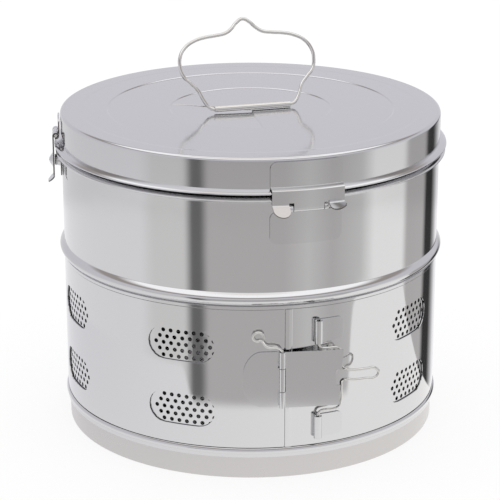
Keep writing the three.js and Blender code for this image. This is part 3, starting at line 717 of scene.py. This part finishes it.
def over_bead_radius(z):
    """Where a leaf on the lid lies: against the skirt, then over the bead."""
    return ON_SKIRT + (OVER_BEAD - ON_SKIRT) * eased((BEND_Z - z) / BEND_RUN)


def curl(distance, middle, start, way):
    """How far out and up a strip lies that rolls round a pin, by its length along the roll."""
    turn = math.radians(start) + way * distance / middle
    return middle * math.cos(turn), middle * math.sin(turn)


def flare(distance, angle, radius=EAR_BEND):
    """How far out and down a tab lies that bends outwards."""
    bent = min(distance, radius * angle)
    turn = bent / radius
    rest = distance - bent
    return (
        radius * (1 - math.cos(turn)) + rest * math.sin(angle),
        radius * math.sin(turn) + rest * math.cos(angle),
    )


def hinge_lid_leaf():
    half = HINGE_WIDTH / 2
    tongue = TONGUE_WIDTH / 2
    ear = EAR_WIDTH / 2
    ear_middle = half - ear
    straight = EAR_LENGTH - ear
    tip = HINGE_PIN_Z - CURL_MIDDLE * math.radians(TONGUE_ROLL)
    right_ear = arc_points((ear_middle, EAR_ROOT_Z - straight), ear, -180, 0, 16)
    left_ear = arc_points((-ear_middle, EAR_ROOT_Z - straight), ear, -180, 0, 16)
    notch = EAR_ROOT_Z + 0.8
    outline = [
        (-half, EAR_ROOT_Z), *left_ear, (EAR_WIDTH - half, notch), (-tongue, notch),
        (-tongue, tip), (tongue, tip), (tongue, notch), (half - EAR_WIDTH, notch),
        *right_ear, (half, EAR_ROOT_Z),
        *arc_points((half - HINGE_CORNER, HINGE_TOP - HINGE_CORNER), HINGE_CORNER, 0, 90, 8),
        *arc_points((-half + HINGE_CORNER, HINGE_TOP - HINGE_CORNER), HINGE_CORNER, 90, 180, 8),
    ]
    leaf = blank("lid_hinge_leaf", outline)
    sliced(leaf, "X", spread(-half, half, WIDE_SLICE))
    sliced(leaf, "Z", spread(tip, HINGE_PIN_Z, ROLL_SLICE))
    sliced(leaf, "Z", spread(HINGE_PIN_Z, EAR_ROOT_Z, 0.5) + [EAR_ROOT_Z - 0.001])
    sliced(leaf, "Z", spread(BEND_Z - BEND_RUN, BEND_Z, 0.2) + [BEND_Z, BEND_Z - BEND_RUN])

    def rule(x, z):
        if z >= EAR_ROOT_Z or (abs(x) <= tongue + 0.01 and z >= HINGE_PIN_Z):
            return wrapped(x, over_bead_radius(z), z)
        if abs(x) <= tongue + 0.01:
            out, up = curl(HINGE_PIN_Z - z, CURL_MIDDLE, 0, -1)
            return wrapped(x, HINGE_AXIS + out, HINGE_PIN_Z + up)
        across = (x - half + EAR_WIDTH) / EAR_WIDTH
        angle = EAR_FLARES[0] if x < 0 else EAR_FLARES[1] + (EAR_FLARES[2] - EAR_FLARES[1]) * across
        out, down = flare(EAR_ROOT_Z - z, angle)
        return wrapped(x, OVER_BEAD + out, EAR_ROOT_Z - down)

    return softened(thickened(formed(leaf, rule), LEAF))


def hinge_body_leaf():
    half = HINGE_WIDTH / 2
    near = TONGUE_WIDTH / 2 + KNUCKLE_GAP
    far = near + KNUCKLE_WIDTH
    tip = HINGE_PIN_Z + CURL_MIDDLE * math.radians(KNUCKLE_ROLL)
    body = round_outline(-half, half, BODY_LEAF_BOTTOM, BODY_LEAF_TOP, HINGE_CORNER, HINGE_CORNER)
    count = len(body) // 2
    outline = [
        *body[:count], (far, BODY_LEAF_TOP), (far, tip), (near, tip), (near, BODY_LEAF_TOP),
        (-near, BODY_LEAF_TOP), (-near, tip), (-far, tip), (-far, BODY_LEAF_TOP), *body[count:],
    ]
    leaf = blank("body_hinge_leaf", outline)
    sliced(leaf, "X", spread(-half, half, WIDE_SLICE))
    sliced(leaf, "Z", spread(HINGE_PIN_Z, tip, ROLL_SLICE) + [HINGE_PIN_Z])
    sliced(leaf, "Z", spread(BODY_LEAF_TOP - 3, HINGE_PIN_Z, ROLL_SLICE))

    def rule(x, z):
        if z > HINGE_PIN_Z:
            out, up = curl(z - HINGE_PIN_Z, CURL_MIDDLE, 180, -1)
            return wrapped(x, HINGE_AXIS + out, HINGE_PIN_Z + up)
        near_tab = near - 0.01 <= abs(x) <= far + 0.01
        rise = eased((z - BODY_LEAF_TOP) / (HINGE_PIN_Z - BODY_LEAF_TOP)) if near_tab else 0
        return wrapped(x, ON_WALL + (HINGE_AXIS - CURL_MIDDLE - ON_WALL) * rise, z)

    return softened(thickened(formed(leaf, rule), LEAF))


def rod(name, length, radius, place, along="X"):
    """A cut length of wire with slightly domed ends, lying along X or standing."""
    half = length / 2
    corner = radius * 0.35
    section = [
        (0.01, -half), *arc_points((radius - corner, -half + corner), corner, -90, 0, 4),
        *arc_points((radius - corner, half - corner), corner, 0, 90, 4), (0.01, half),
    ]
    piece = closed_pole(spun(name, section, steps=28))
    turn = Matrix.Rotation(math.pi / 2, 4, "Y") if along == "X" else Matrix.Identity(4)
    piece.data.transform(Matrix.Translation(place) @ turn)
    return piece


def latch_leaf():
    half = LATCH_LEAF_WIDTH / 2
    tongue = LATCH_TONGUE / 2
    tip = LATCH_PIN_Z - CURL_MIDDLE * math.radians(LATCH_ROLL)
    corner = 3
    outline = [
        (-half, LATCH_LEAF_EDGE), (-tongue, LATCH_LEAF_EDGE), (-tongue, tip),
        (tongue, tip), (tongue, LATCH_LEAF_EDGE), (half, LATCH_LEAF_EDGE),
        *arc_points((half - corner, LATCH_LEAF_TOP - corner), corner, 0, 90, 6),
        *arc_points((corner - half, LATCH_LEAF_TOP - corner), corner, 90, 180, 6),
    ]
    leaf = blank("latch_leaf", outline)
    sliced(leaf, "X", spread(-half, half, WIDE_SLICE))
    sliced(leaf, "Z", spread(tip, LATCH_PIN_Z, ROLL_SLICE) + [LATCH_PIN_Z])

    def rule(x, z):
        if z >= LATCH_PIN_Z:
            return wrapped(x, LATCH_AXIS - CURL_MIDDLE, z)
        out, up = curl(LATCH_PIN_Z - z, CURL_MIDDLE, 180, 1)
        return wrapped(x, LATCH_AXIS + out, LATCH_PIN_Z + up)

    return softened(thickened(formed(leaf, rule), LEAF))


def hasp_plate():
    half = HASP_WIDTH / 2
    inner = LATCH_TONGUE / 2 + LATCH_GAP
    tab = HASP_TAB_WIDTH / 2
    shoulder = LATCH_PIN_Z - CURL_MIDDLE - LEAF / 2 - LATCH_GAP
    tip = LATCH_PIN_Z + CURL_MIDDLE * math.radians(HASP_ROLL)
    end = HASP_BOTTOM - HASP_TAB_LENGTH
    corner = 3
    outline = [
        *arc_points((-half + corner, HASP_BOTTOM + corner), corner, 180, 270, 5),
        (-tab, HASP_BOTTOM), (-tab, end + corner), (corner - tab, end),
        (tab - corner, end), (tab, end + corner), (tab, HASP_BOTTOM),
        *arc_points((half - corner, HASP_BOTTOM + corner), corner, 270, 360, 5),
        (half, tip), (inner, tip), (inner, shoulder), (-inner, shoulder), (-inner, tip), (-half, tip),
    ]
    plate = blank("hasp_plate", outline)
    sliced(plate, "Z", spread(LATCH_PIN_Z, tip, ROLL_SLICE) + [LATCH_PIN_Z])
    sliced(plate, "Z", spread(end, HASP_BOTTOM, ROLL_SLICE) + [HASP_BOTTOM])
    sliced(plate, "Z", spread(HASP_BOTTOM, shoulder, WIDE_SLICE))
    sliced(plate, "X", spread(-half, half, 1.2))

    def rule(x, z):
        if z > LATCH_PIN_Z:
            out, up = curl(z - LATCH_PIN_Z, CURL_MIDDLE, 0, 1)
            return Vector((x, -(LATCH_AXIS + out), LATCH_PIN_Z + up))
        if z < HASP_BOTTOM:
            out, down = flare(HASP_BOTTOM - z, HASP_TAB_FLARE)
            return Vector((x, -(HASP_MIDDLE + out), HASP_BOTTOM - down))
        away = math.hypot(x, z - DOME_Z) / (DOME_RADIUS + 1)
        swell = DOME_HEIGHT * (1 - away * away) ** 1.5 if away < 1 else 0
        return Vector((x, -(HASP_MIDDLE + swell), z))

    return softened(thickened(formed(plate, rule), LEAF))


def keeper_plate():
    width, height = STUD_PLATE
    middle = DOME_Z - STUD_PLATE_DROP
    outline = round_outline(-width / 2, width / 2, middle - height / 2, middle + height / 2, 3, 3, 5)
    plate = blank("keeper", outline)
    sliced(plate, "X", spread(-width / 2, width / 2, WIDE_SLICE))
    formed(plate, lambda x, z: wrapped(x, ON_WALL, z))
    softened(thickened(plate, LEAF))
    foot = ON_WALL
    top = HASP_MIDDLE - LEAF / 2 - SEAT
    section = [
        (0.01, foot), (STUD_BASE, foot), (STUD_BASE - 0.1, foot + 0.6), (STUD_BASE - 0.4, foot + 1.6),
        (STUD_TIP + 0.1, top - 1), (STUD_TIP - 0.1, top - 0.4), (STUD_TIP - 0.5, top), (0.01, top),
    ]
    stud = closed_pole(spun("stud", section, steps=32))
    stud.data.transform(Matrix.Translation((0, 0, DOME_Z)) @ Matrix.Rotation(math.pi / 2, 4, "X"))
    return joined([plate, stud])


# Vent band

def stadium(width, height, steps=10):
    radius = height / 2
    reach = width / 2 - radius
    return [
        *arc_points((reach, 0), radius, -90, 90, steps),
        *arc_points((-reach, 0), radius, 90, 270, steps),
    ]


def extruded(piece, step):
    edit_all(piece)
    bpy.ops.mesh.extrude_region_move(TRANSFORM_OT_translate={"value": step})
    bpy.ops.mesh.select_all(action="SELECT")
    bpy.ops.mesh.normals_make_consistent(inside=False)
    edit_done()
    return piece


def vent_band():
    low = GROOVE_BOTTOM + BAND_END_PLAY
    high = low + BAND_HEIGHT
    inner = DRUM_RADIUS - BAND_SHEET
    levels = spread(low, high, 4)
    section = [
        (inner, low), (DRUM_RADIUS, low), *[(DRUM_RADIUS, z) for z in levels],
        (DRUM_RADIUS, high), (inner, high), *[(inner, z) for z in reversed(levels)],
    ]
    band = softened(spun("band_sheet", section), width=0.15)
    window = extruded(blank("window", stadium(WINDOW_WIDTH, WINDOW_HEIGHT)), (0, -CUTTER_DEPTH, 0))
    cutters = []
    for angle, z in window_places(0):
        twin = copied(window, "window_cutter")
        out = Matrix.Translation((0, CUTTER_DEPTH / 2 - DRUM_RADIUS, z))
        twin.data.transform(Matrix.Rotation(angle, 4, "Z") @ out)
        cutters.append(twin)
    bpy.data.objects.remove(window)
    slit = blank("slit", round_outline(-SLIT_WIDTH / 2, SLIT_WIDTH / 2, 0, high + LEAF, 0, 0))
    extruded(slit, (0, -CUTTER_DEPTH, 0))
    out = Matrix.Translation((0, CUTTER_DEPTH / 2 - DRUM_RADIUS, 0))
    slit.data.transform(Matrix.Rotation(SLIT_ANGLE, 4, "Z") @ out)
    cut(band, joined(cutters + [slit]))
    start = SLIT_ANGLE * DRUM_RADIUS + SLIT_WIDTH / 2
    hem = blank("hem", round_outline(start, start + HEM_WIDTH, low, high, 0, 0))
    sliced(hem, "X", spread(start, start + HEM_WIDTH, 0.6))

    def rule(x, z):
        share = (x - start) / HEM_WIDTH
        return wrapped(x, DRUM_RADIUS + HEM_PROUD * max(0, math.sin(math.pi * share)) ** 0.6 - 0.12, z)

    thickened(formed(hem, rule), 0.2, edges=False)
    return moved(joined([band, hem]), turn=BAND_TURN)


# Band clamp, modelled with the middle of the clamp at the front

CLAMP_AXIS = on_arc(CLAMP_ANGLE, CLAMP_AXIS_RADIUS, CLAMP_Z)
BAIL_AXIS = on_arc(BRACKET_ANGLE, BRACKET_AXIS_RADIUS, CLAMP_Z - BAIL_DROP)


def rolled(distance, axis, middle, start, way):
    """A place on a strip that rolls round an upright pin, by its length along the roll."""
    turn = math.radians(start) + way * distance / middle
    return axis.x + middle * math.cos(turn), axis.y - middle * math.sin(turn)


def clamp_fixed_leaf():
    on_band = DRUM_RADIUS + SEAT + CLAMP_SHEET / 2
    right = CLAMP_AXIS.x
    left = right - FIXED_LEAF_WIDTH
    half = FIXED_LEAF_HEIGHT / 2
    knuckle = CLAMP_MIDDLE_KNUCKLE / 2
    tip = right + CLAMP_CURL * math.radians(FIXED_LEAF_ROLL)
    shoulder = right - CLAMP_KNUCKLE - CLAMP_GAP
    rounding = [
        (left + FIXED_LEAF_ROUND * (1 + math.cos(t)), CLAMP_Z + half * math.sin(t))
        for t in [math.radians(90 + 180 * i / 28) for i in range(29)]
    ]
    outline = [
        (shoulder, CLAMP_Z - half), (shoulder, CLAMP_Z - knuckle), (tip, CLAMP_Z - knuckle),
        (tip, CLAMP_Z + knuckle), (shoulder, CLAMP_Z + knuckle), (shoulder, CLAMP_Z + half), *rounding,
    ]
    leaf = blank("clamp_leaf", outline)
    sliced(leaf, "X", spread(left, right, 1.2) + [right] + spread(right, tip, 0.35))

    def rule(x, z):
        if x <= right:
            depth = math.sqrt(on_band ** 2 - x * x)
            share = min(1, max(0, (x - shoulder) / (right - shoulder)))
            return Vector((x, -depth - share * share * (-CLAMP_AXIS.y - CLAMP_CURL - depth), z))
        place = rolled(x - right, CLAMP_AXIS, CLAMP_CURL, -90, 1)
        return Vector((*place, z))

    return softened(thickened(formed(leaf, rule), CLAMP_SHEET), width=0.12)


def clamp_hinge_pin():
    half = CLAMP_PLATE_HEIGHT / 2
    on_band = DRUM_RADIUS + SEAT + CLAMP_PIN
    eye = on_arc(EYE_ANGLE, on_band, CLAMP_Z + EYE_LIFT)
    across = (eye.x - CLAMP_AXIS.x) / 3
    x, y = CLAMP_AXIS.x, CLAMP_AXIS.y
    points = [
        (x, y, CLAMP_Z - half),
        (x, y, CLAMP_Z),
        (x, y, CLAMP_Z + half),
        (x + across / 2, y, CLAMP_Z + half + EYE_RADIUS),
        (x + 2 * across, y + CLAMP_PIN, CLAMP_Z + EYE_LIFT - 2 * EYE_RADIUS),
    ]
    turns = 14
    for i in range(turns + 1):
        turn = -math.pi / 3 - math.pi * 1.75 * i / turns
        away = CLAMP_PIN * 2 * i / turns
        ring_x = eye.x + EYE_RADIUS * math.cos(turn)
        ring_y = -math.sqrt(on_band ** 2 - ring_x ** 2) - away
        points.append((ring_x, ring_y, eye.z + EYE_RADIUS * math.sin(turn)))
    return wire("clamp_pin_wire", points, CLAMP_PIN)


def clamp_plate():
    half = CLAMP_PLATE_HEIGHT / 2
    knuckle = CLAMP_MIDDLE_KNUCKLE / 2 + CLAMP_GAP
    room = CLAMP_KNUCKLE + SEAT
    foot = math.sqrt(CLAMP_CURL ** 2 + 2 * CLAMP_CURL * CLAMP_FILLET)
    lean = math.atan2(CLAMP_FILLET, foot)
    bend = CLAMP_FILLET * (math.pi / 2 - lean)
    tip = foot - bend - CLAMP_CURL * (math.radians(FLAP_ROLL) - lean)
    length = CLAMP_PLATE_LENGTH
    notch = NOTCH_HEIGHT / 2
    low_right = length - CLAMP_PLATE_SLANT
    outline = [
        (tip, -half), (low_right, -half),
        (low_right + CLAMP_PLATE_SLANT * (half - notch) / (2 * half), -notch),
        (length - NOTCH_DEPTH, -notch), (length - NOTCH_DEPTH, notch),
        (low_right + CLAMP_PLATE_SLANT * (half + notch) / (2 * half), notch), (length, half),
        (tip, half), (tip, knuckle), (room, knuckle), (room, -knuckle), (tip, -knuckle),
    ]
    plate = blank("clamp_flap", outline)
    sliced(plate, "X", spread(tip, foot, 0.35) + [foot] + spread(foot, length, 3))

    def rule(x, z):
        if x >= foot:
            return Vector((x, 0, z))
        if x >= foot - bend:
            turn = (foot - x) / CLAMP_FILLET
            out = CLAMP_FILLET * (1 - math.cos(turn))
            return Vector((foot - CLAMP_FILLET * math.sin(turn), -out, z))
        turn = lean + (foot - bend - x) / CLAMP_CURL
        return Vector((CLAMP_CURL * math.cos(turn), -CLAMP_CURL * math.sin(turn), z))

    return softened(thickened(formed(plate, rule), CLAMP_SHEET), width=0.15)


def bail_bracket():
    """The upper bracket, modelled about the clamp's own level."""
    on_band = DRUM_RADIUS + SEAT + CLAMP_SHEET / 2
    half = BRACKET_HEIGHT / 2
    left = BAIL_AXIS.x
    right = left + BRACKET_WIDTH
    middle = BRACKET_ROLL - CLAMP_SHEET / 2
    tip = left - middle * math.radians(BRACKET_WRAP)
    outline = [
        (tip, -half),
        *arc_points((right - BRACKET_CORNER, BRACKET_CORNER - half), BRACKET_CORNER, -90, 0, 7),
        *arc_points((right - BRACKET_CORNER, half - BRACKET_CORNER), BRACKET_CORNER, 0, 90, 7),
        (tip, half),
    ]
    bracket = blank("bail_bracket", outline)
    sliced(bracket, "X", spread(tip, left, 0.5) + [left] + spread(left, right, 1.2))

    def rule(x, z):
        if x >= left:
            depth = math.sqrt(on_band ** 2 - x * x)
            share = min(1, max(0, 1 - (x - left) / 3))
            return Vector((x, -depth - share * share * (-BAIL_AXIS.y - middle - depth), z))
        place = rolled(left - x, BAIL_AXIS, middle, -90, -1)
        return Vector((*place, z))

    return softened(thickened(formed(bracket, rule), CLAMP_SHEET), width=0.12)


def bail_strand(side):
    """Half of the bail from its roll to the hairpin, as points along, out and up."""
    roll_end = BRACKET_SPREAD - BRACKET_HEIGHT / 2
    frame_points = [
        (0, roll_end + BAIL_END),
        (0, roll_end),
        (BAIL_BEND / 2, BAIL_SHOULDER + BAIL_BEND / 3),
        (BAIL_BEND * 2, BAIL_SHOULDER),
        (BAIL_REACH - BAIL_BEND * 2, BAIL_SHOULDER),
        (BAIL_REACH - BAIL_BEND / 2, BAIL_SHOULDER - BAIL_BEND / 2),
        (BAIL_REACH, BAIL_SHOULDER - BAIL_BEND * 1.9),
    ]
    hairpin = [
        (BAIL_REACH, BAIL_HAIRPIN + BAIL_BEND * 2, 0),
        (BAIL_REACH + BAIL_BEND / 6, BAIL_HAIRPIN + BAIL_BEND / 2, 0),
        (BAIL_REACH + BAIL_BEND, BAIL_HAIRPIN, BAIL_RISE / 2),
        (BAIL_REACH + 2.5 * BAIL_BEND, BAIL_HAIRPIN, BAIL_RISE),
        (BAIL_TIP - 3 * BAIL_BEND, BAIL_HAIRPIN, BAIL_RISE),
        (BAIL_TIP - BAIL_BEND, BAIL_HAIRPIN, BAIL_RISE),
    ]
    return [
        *[(along, 0, side * up) for along, up in frame_points],
        *[(along, -out, BAIL_HAIRPIN_LIFT + side * up) for along, up, out in hairpin],
    ]


def clamp_bail():
    tip = (BAIL_TIP, -BAIL_RISE, BAIL_HAIRPIN_LIFT)
    bail = wire("bail_wire", [*bail_strand(1), tip, *reversed(bail_strand(-1))], BAIL_WIRE)
    return moved(bail, BAIL_AXIS, -BAIL_TILT)


# Making and placing the pieces

dressed(drum_wall(), "drum", "drum_shell", polished_sheet)
dressed(drum_floor(), "drum", "drum_floor", satin_sheet)
dressed(base_ring(), "drum", "base_ring", satin_sheet)
dressed(lid_shell(), "lid", "lid_shell", polished_lid, 20)
dressed(handle_tube(), "lid", "handle_tube", bright_wire)
dressed(lid_handle(), "handle", "lid_handle", bright_wire, 60)
dressed(hinge_lid_leaf(), "lid", "hinge_lid_leaf", fitting_sheet)
dressed(hinge_body_leaf(), "drum", "hinge_body_leaf", fitting_sheet)
pin_half = TONGUE_WIDTH / 2 + KNUCKLE_GAP + KNUCKLE_WIDTH + 0.5
hinge_pin = rod("hinge_wire", 2 * pin_half, HINGE_PIN_RADIUS, (0, -HINGE_AXIS, HINGE_PIN_Z))
dressed(hinge_pin, "drum", "hinge_pin", bright_wire)

for side, way in (("left", -1), ("right", 1)):
    turn = way * LATCH_ANGLE
    leaf = moved(latch_leaf(), turn=turn)
    leaf.name = f"latch_leaf_sheet_{side}"
    dressed(leaf, "lid", f"latch_leaf_{side}", fitting_sheet)
    pin = rod("pin", HASP_WIDTH - 2 * SEAT, HINGE_PIN_RADIUS, (0, -LATCH_AXIS, LATCH_PIN_Z))
    pin.name = f"latch_wire_{side}"
    dressed(moved(pin, turn=turn), "lid", f"latch_pin_{side}", bright_wire)
    plate = moved(hasp_plate(), turn=turn)
    plate.name = f"hasp_sheet_{side}"
    dressed(plate, f"{side}_hasp", f"hasp_{side}", fitting_sheet)
    keeper = moved(keeper_plate(), turn=turn)
    keeper.name = f"keeper_{side}"
    dressed(keeper, "drum", f"latch_stud_{side}", fitting_sheet)

dressed(vent_band(), "band", "vent_band", polished_sheet)
fixed_leaf = moved(clamp_fixed_leaf(), turn=BAND_TURN)
dressed(fixed_leaf, "band", "clamp_fixed_leaf", fitting_sheet)
clamp_pin = moved(clamp_hinge_pin(), turn=BAND_TURN)
dressed(clamp_pin, "band", "clamp_hinge_pin", bright_wire, 60)
upper_bracket = bail_bracket()
lower_bracket = copied(upper_bracket, "bail_bracket_low")
brackets = ((upper_bracket, "bail_bracket_upper", 1), (lower_bracket, "bail_bracket_lower", -1))
for bracket, name, side in brackets:
    moved(bracket, (0, 0, BAIL_AXIS.z + side * BRACKET_SPREAD))
    dressed(moved(bracket, turn=BAND_TURN), "band", name, fitting_sheet)
flap = moved(clamp_plate(), CLAMP_AXIS, -CLAMP_PLATE_TILT)
dressed(moved(flap, turn=BAND_TURN), "plate", "clamp_plate", fitting_sheet)
dressed(moved(clamp_bail(), turn=BAND_TURN), "bail", "clamp_bail", bright_wire, 60)


# Studio: the camera, a pale floor and the surroundings that polished steel mirrors

CAMERA_AZIMUTH = math.radians(-16)
CAMERA_ELEVATION = math.radians(19)
CAMERA_DISTANCE = 1.6
CAMERA_TARGET = AXIS + Vector((0, 0, 0.11))
FOCAL_PIXELS = 2105
IMAGE_PIXELS = 500
TARGET_PIXEL = (250.4, 269.6)
SENSOR_MM = 36

back = Vector((
    math.sin(CAMERA_AZIMUTH) * math.cos(CAMERA_ELEVATION),
    -math.cos(CAMERA_AZIMUTH) * math.cos(CAMERA_ELEVATION),
    math.sin(CAMERA_ELEVATION),
))
start_alone()
bpy.ops.object.camera_add(location=CAMERA_TARGET + back * CAMERA_DISTANCE)
camera = bpy.context.object
camera.rotation_euler = back.to_track_quat("Z", "Y").to_euler()
camera.data.sensor_width = SENSOR_MM
camera.data.lens = SENSOR_MM * FOCAL_PIXELS / IMAGE_PIXELS
camera.data.shift_x = (IMAGE_PIXELS / 2 - TARGET_PIXEL[0]) / IMAGE_PIXELS
camera.data.shift_y = (TARGET_PIXEL[1] - IMAGE_PIXELS / 2) / IMAGE_PIXELS
bpy.context.scene.camera = camera

# What steel of this reflectance has to mirror to look as bright as the tones below
STEEL_REFLECTANCE = 0.63
# The studio is made of a few plain tones
PALE_WALL = "#CCCBCD"
GREY_WALL = "#C0BFBE"
DARK_POST = "#606060"
DIM_ROOM = "#A5A3A2"
CURTAIN = "#B5B4B3"
WHITE_SCREEN = "#DAD9D8"
DOORWAY = "#303030"
TABLE_LEFT = "#C8C7CA"
TABLE_FRONT = "#D4D3D3"
LOW_SKY = "#B9B8BD"
DIM_CEILING = "#908B88"
LIGHT_PANEL = "#F0F0F1"
CEILING = "#D8D3CF"

# What stands round the drum, by degrees to the right of the camera as seen from the drum
ROOM = (
    (-180, PALE_WALL), (-70, PALE_WALL), (-60, GREY_WALL), (-40, GREY_WALL), (-35, DARK_POST),
    (-30, DARK_POST), (-25, DIM_ROOM), (20, DIM_ROOM), (35, CURTAIN), (50, DIM_ROOM), (70, CURTAIN),
    (80, WHITE_SCREEN), (105, WHITE_SCREEN), (110, DIM_ROOM), (130, DIM_ROOM), (135, DOORWAY),
    (145, DOORWAY), (160, PALE_WALL), (180, PALE_WALL),
)
# The room is dimmer above this height of the mirrored direction's unit vector
DIMMER_FROM = (-0.30, -0.29)
DIMMER_SHARE = 0.84
# The mirrored table's tones, and where it ends in metres from the drum's middle, by the same degrees
TABLE = (
    (-180, TABLE_LEFT), (-100, TABLE_LEFT), (0, TABLE_FRONT), (50, WHITE_SCREEN), (180, WHITE_SCREEN),
)
TABLE_EDGES = (
    (-180, 0.35), (-35, 0.35), (-25, 0.275), (45, 0.275),
    (60, 0.52), (90, 0.52), (100, 0.17), (180, 0.17),
)
TABLE_EDGE_SOFT = 0.012
# Half the height over which the room gives way to what is overhead
HORIZON_SOFT = 0.1
# The floor as the camera sees it, most of its white being its own glow, so that it stays pale
FLOOR_PAPER = "#808080"
FLOOR_GLOW = 0.8
FLOOR_SIZE = 16
# Overhead, by the height of the direction's unit vector
OVERHEAD = (
    (0, LOW_SKY), (0.45, LOW_SKY), (0.55, DIM_CEILING), (0.65, DIM_CEILING), (0.75, LIGHT_PANEL),
    (0.9, LIGHT_PANEL), (0.95, CEILING), (1, CEILING),
)


def ramp(tree, factor, tones, low, high):
    """A colour ramp whose stops lie between low and high."""
    made = node(tree, "ShaderNodeValToRGB", {0: factor})
    stops = made.color_ramp.elements
    for place, tone in tones[1:-1]:
        stops.new((place - low) / (high - low))
    for stop, (place, tone) in zip(stops, tones):
        stop.position = (place - low) / (high - low)
        stop.color = linear(tone)
    return made.outputs[0]


def azimuth(tree, direction):
    """The angle of a direction to the right of the camera as seen from the drum, and its height."""
    facing = node(tree, "ShaderNodeVectorRotate", {"Vector": direction, "Angle": -CAMERA_AZIMUTH},
                  rotation_type="Z_AXIS")
    axes = node(tree, "ShaderNodeSeparateXYZ", {0: facing.outputs[0]})
    front = node(tree, "ShaderNodeMath", {0: axes.outputs[1], 1: -1}, operation="MULTIPLY")
    angle = node(tree, "ShaderNodeMath", {0: axes.outputs[0], 1: front.outputs[0]}, operation="ARCTAN2")
    return angle.outputs[0], axes.outputs[2]


def studio_world():
    world = bpy.data.worlds.new("studio")
    world.use_nodes = True
    tree = world.node_tree
    tree.nodes.clear()
    direction = node(tree, "ShaderNodeTexCoord").outputs["Generated"]
    angle, height = azimuth(tree, direction)
    share = node(tree, "ShaderNodeMapRange", {0: angle, 1: -math.pi, 2: math.pi})
    room = ramp(tree, share.outputs[0], ROOM, -180, 180)
    dimming = node(tree, "ShaderNodeMapRange", {
        0: height, 1: DIMMER_FROM[0], 2: DIMMER_FROM[1], 3: 1, 4: DIMMER_SHARE,
    }, interpolation_type="SMOOTHSTEP")
    horizon = node(tree, "ShaderNodeVectorMath", {0: room}, operation="SCALE")
    tree.links.new(dimming.outputs[0], horizon.inputs["Scale"])
    sky = ramp(tree, height, OVERHEAD, 0, 1)
    rise = node(tree, "ShaderNodeMapRange", {0: height, 1: -HORIZON_SOFT, 2: HORIZON_SOFT},
                interpolation_type="SMOOTHSTEP")
    around = node(tree, "ShaderNodeMix", {0: rise.outputs[0], 6: horizon.outputs[0], 7: sky},
                  data_type="RGBA")
    mirrored = node(tree, "ShaderNodeBackground", {0: around.outputs[2], 1: 1 / STEEL_REFLECTANCE})
    plain = node(tree, "ShaderNodeBackground", {0: linear("#FFFFFF"), 1: 1.0})
    path = node(tree, "ShaderNodeLightPath")
    both = node(tree, "ShaderNodeMixShader", {
        0: path.outputs["Is Glossy Ray"], 1: plain.outputs[0], 2: mirrored.outputs[0],
    })
    node(tree, "ShaderNodeOutputWorld", {"Surface": both.outputs[0]})
    bpy.context.scene.world = world


def floor_material():
    """White to the camera with the drum's soft shadow; in the steel, a pale table with an edge."""
    material = bpy.data.materials.new("pale_floor")
    material.use_nodes = True
    tree = material.node_tree
    tree.nodes.clear()
    place = node(tree, "ShaderNodeTexCoord").outputs["Object"]
    away = node(tree, "ShaderNodeVectorMath", {0: place}, operation="LENGTH")
    angle, _ = azimuth(tree, place)
    edge = TABLE_EDGES[0][1]
    for (start, before), (end, after) in zip(TABLE_EDGES, TABLE_EDGES[1:]):
        if before != after:
            step = node(tree, "ShaderNodeMapRange", {
                0: angle, 1: math.radians(start), 2: math.radians(end), 3: edge, 4: after,
            }, interpolation_type="SMOOTHSTEP")
            edge = step.outputs[0]
    share = node(tree, "ShaderNodeMapRange", {0: angle, 1: -math.pi, 2: math.pi})
    tone = ramp(tree, share.outputs[0], TABLE, -180, 180)
    inner = node(tree, "ShaderNodeMath", {0: edge, 1: TABLE_EDGE_SOFT}, operation="SUBTRACT")
    outer = node(tree, "ShaderNodeMath", {0: edge, 1: TABLE_EDGE_SOFT}, operation="ADD")
    beyond = node(tree, "ShaderNodeMapRange", {
        0: away.outputs["Value"], 1: inner.outputs[0], 2: outer.outputs[0],
    }, interpolation_type="SMOOTHSTEP")
    table = node(tree, "ShaderNodeEmission", {0: tone, 1: 1 / STEEL_REFLECTANCE})
    gone = node(tree, "ShaderNodeBsdfTransparent")
    mirrored = node(tree, "ShaderNodeMixShader", {
        0: beyond.outputs[0], 1: table.outputs[0], 2: gone.outputs[0],
    })
    paper = node(tree, "ShaderNodeBsdfDiffuse", {0: linear(FLOOR_PAPER)})
    glow = node(tree, "ShaderNodeEmission", {0: linear("#FFFFFF"), 1: FLOOR_GLOW})
    white = node(tree, "ShaderNodeAddShader", {0: paper.outputs[0], 1: glow.outputs[0]})
    path = node(tree, "ShaderNodeLightPath")
    shown = node(tree, "ShaderNodeMixShader", {
        0: path.outputs["Is Glossy Ray"], 1: white.outputs[0], 2: mirrored.outputs[0],
    })
    node(tree, "ShaderNodeOutputMaterial", {"Surface": shown.outputs[0]})
    return material


start_alone()
bpy.ops.mesh.primitive_plane_add(size=FLOOR_SIZE, location=AXIS)
floor = bpy.context.object
floor.name = "pale_floor"
floor.data.materials.append(floor_material())
studio_world()
bpy.context.scene.view_settings.view_transform = "Standard"
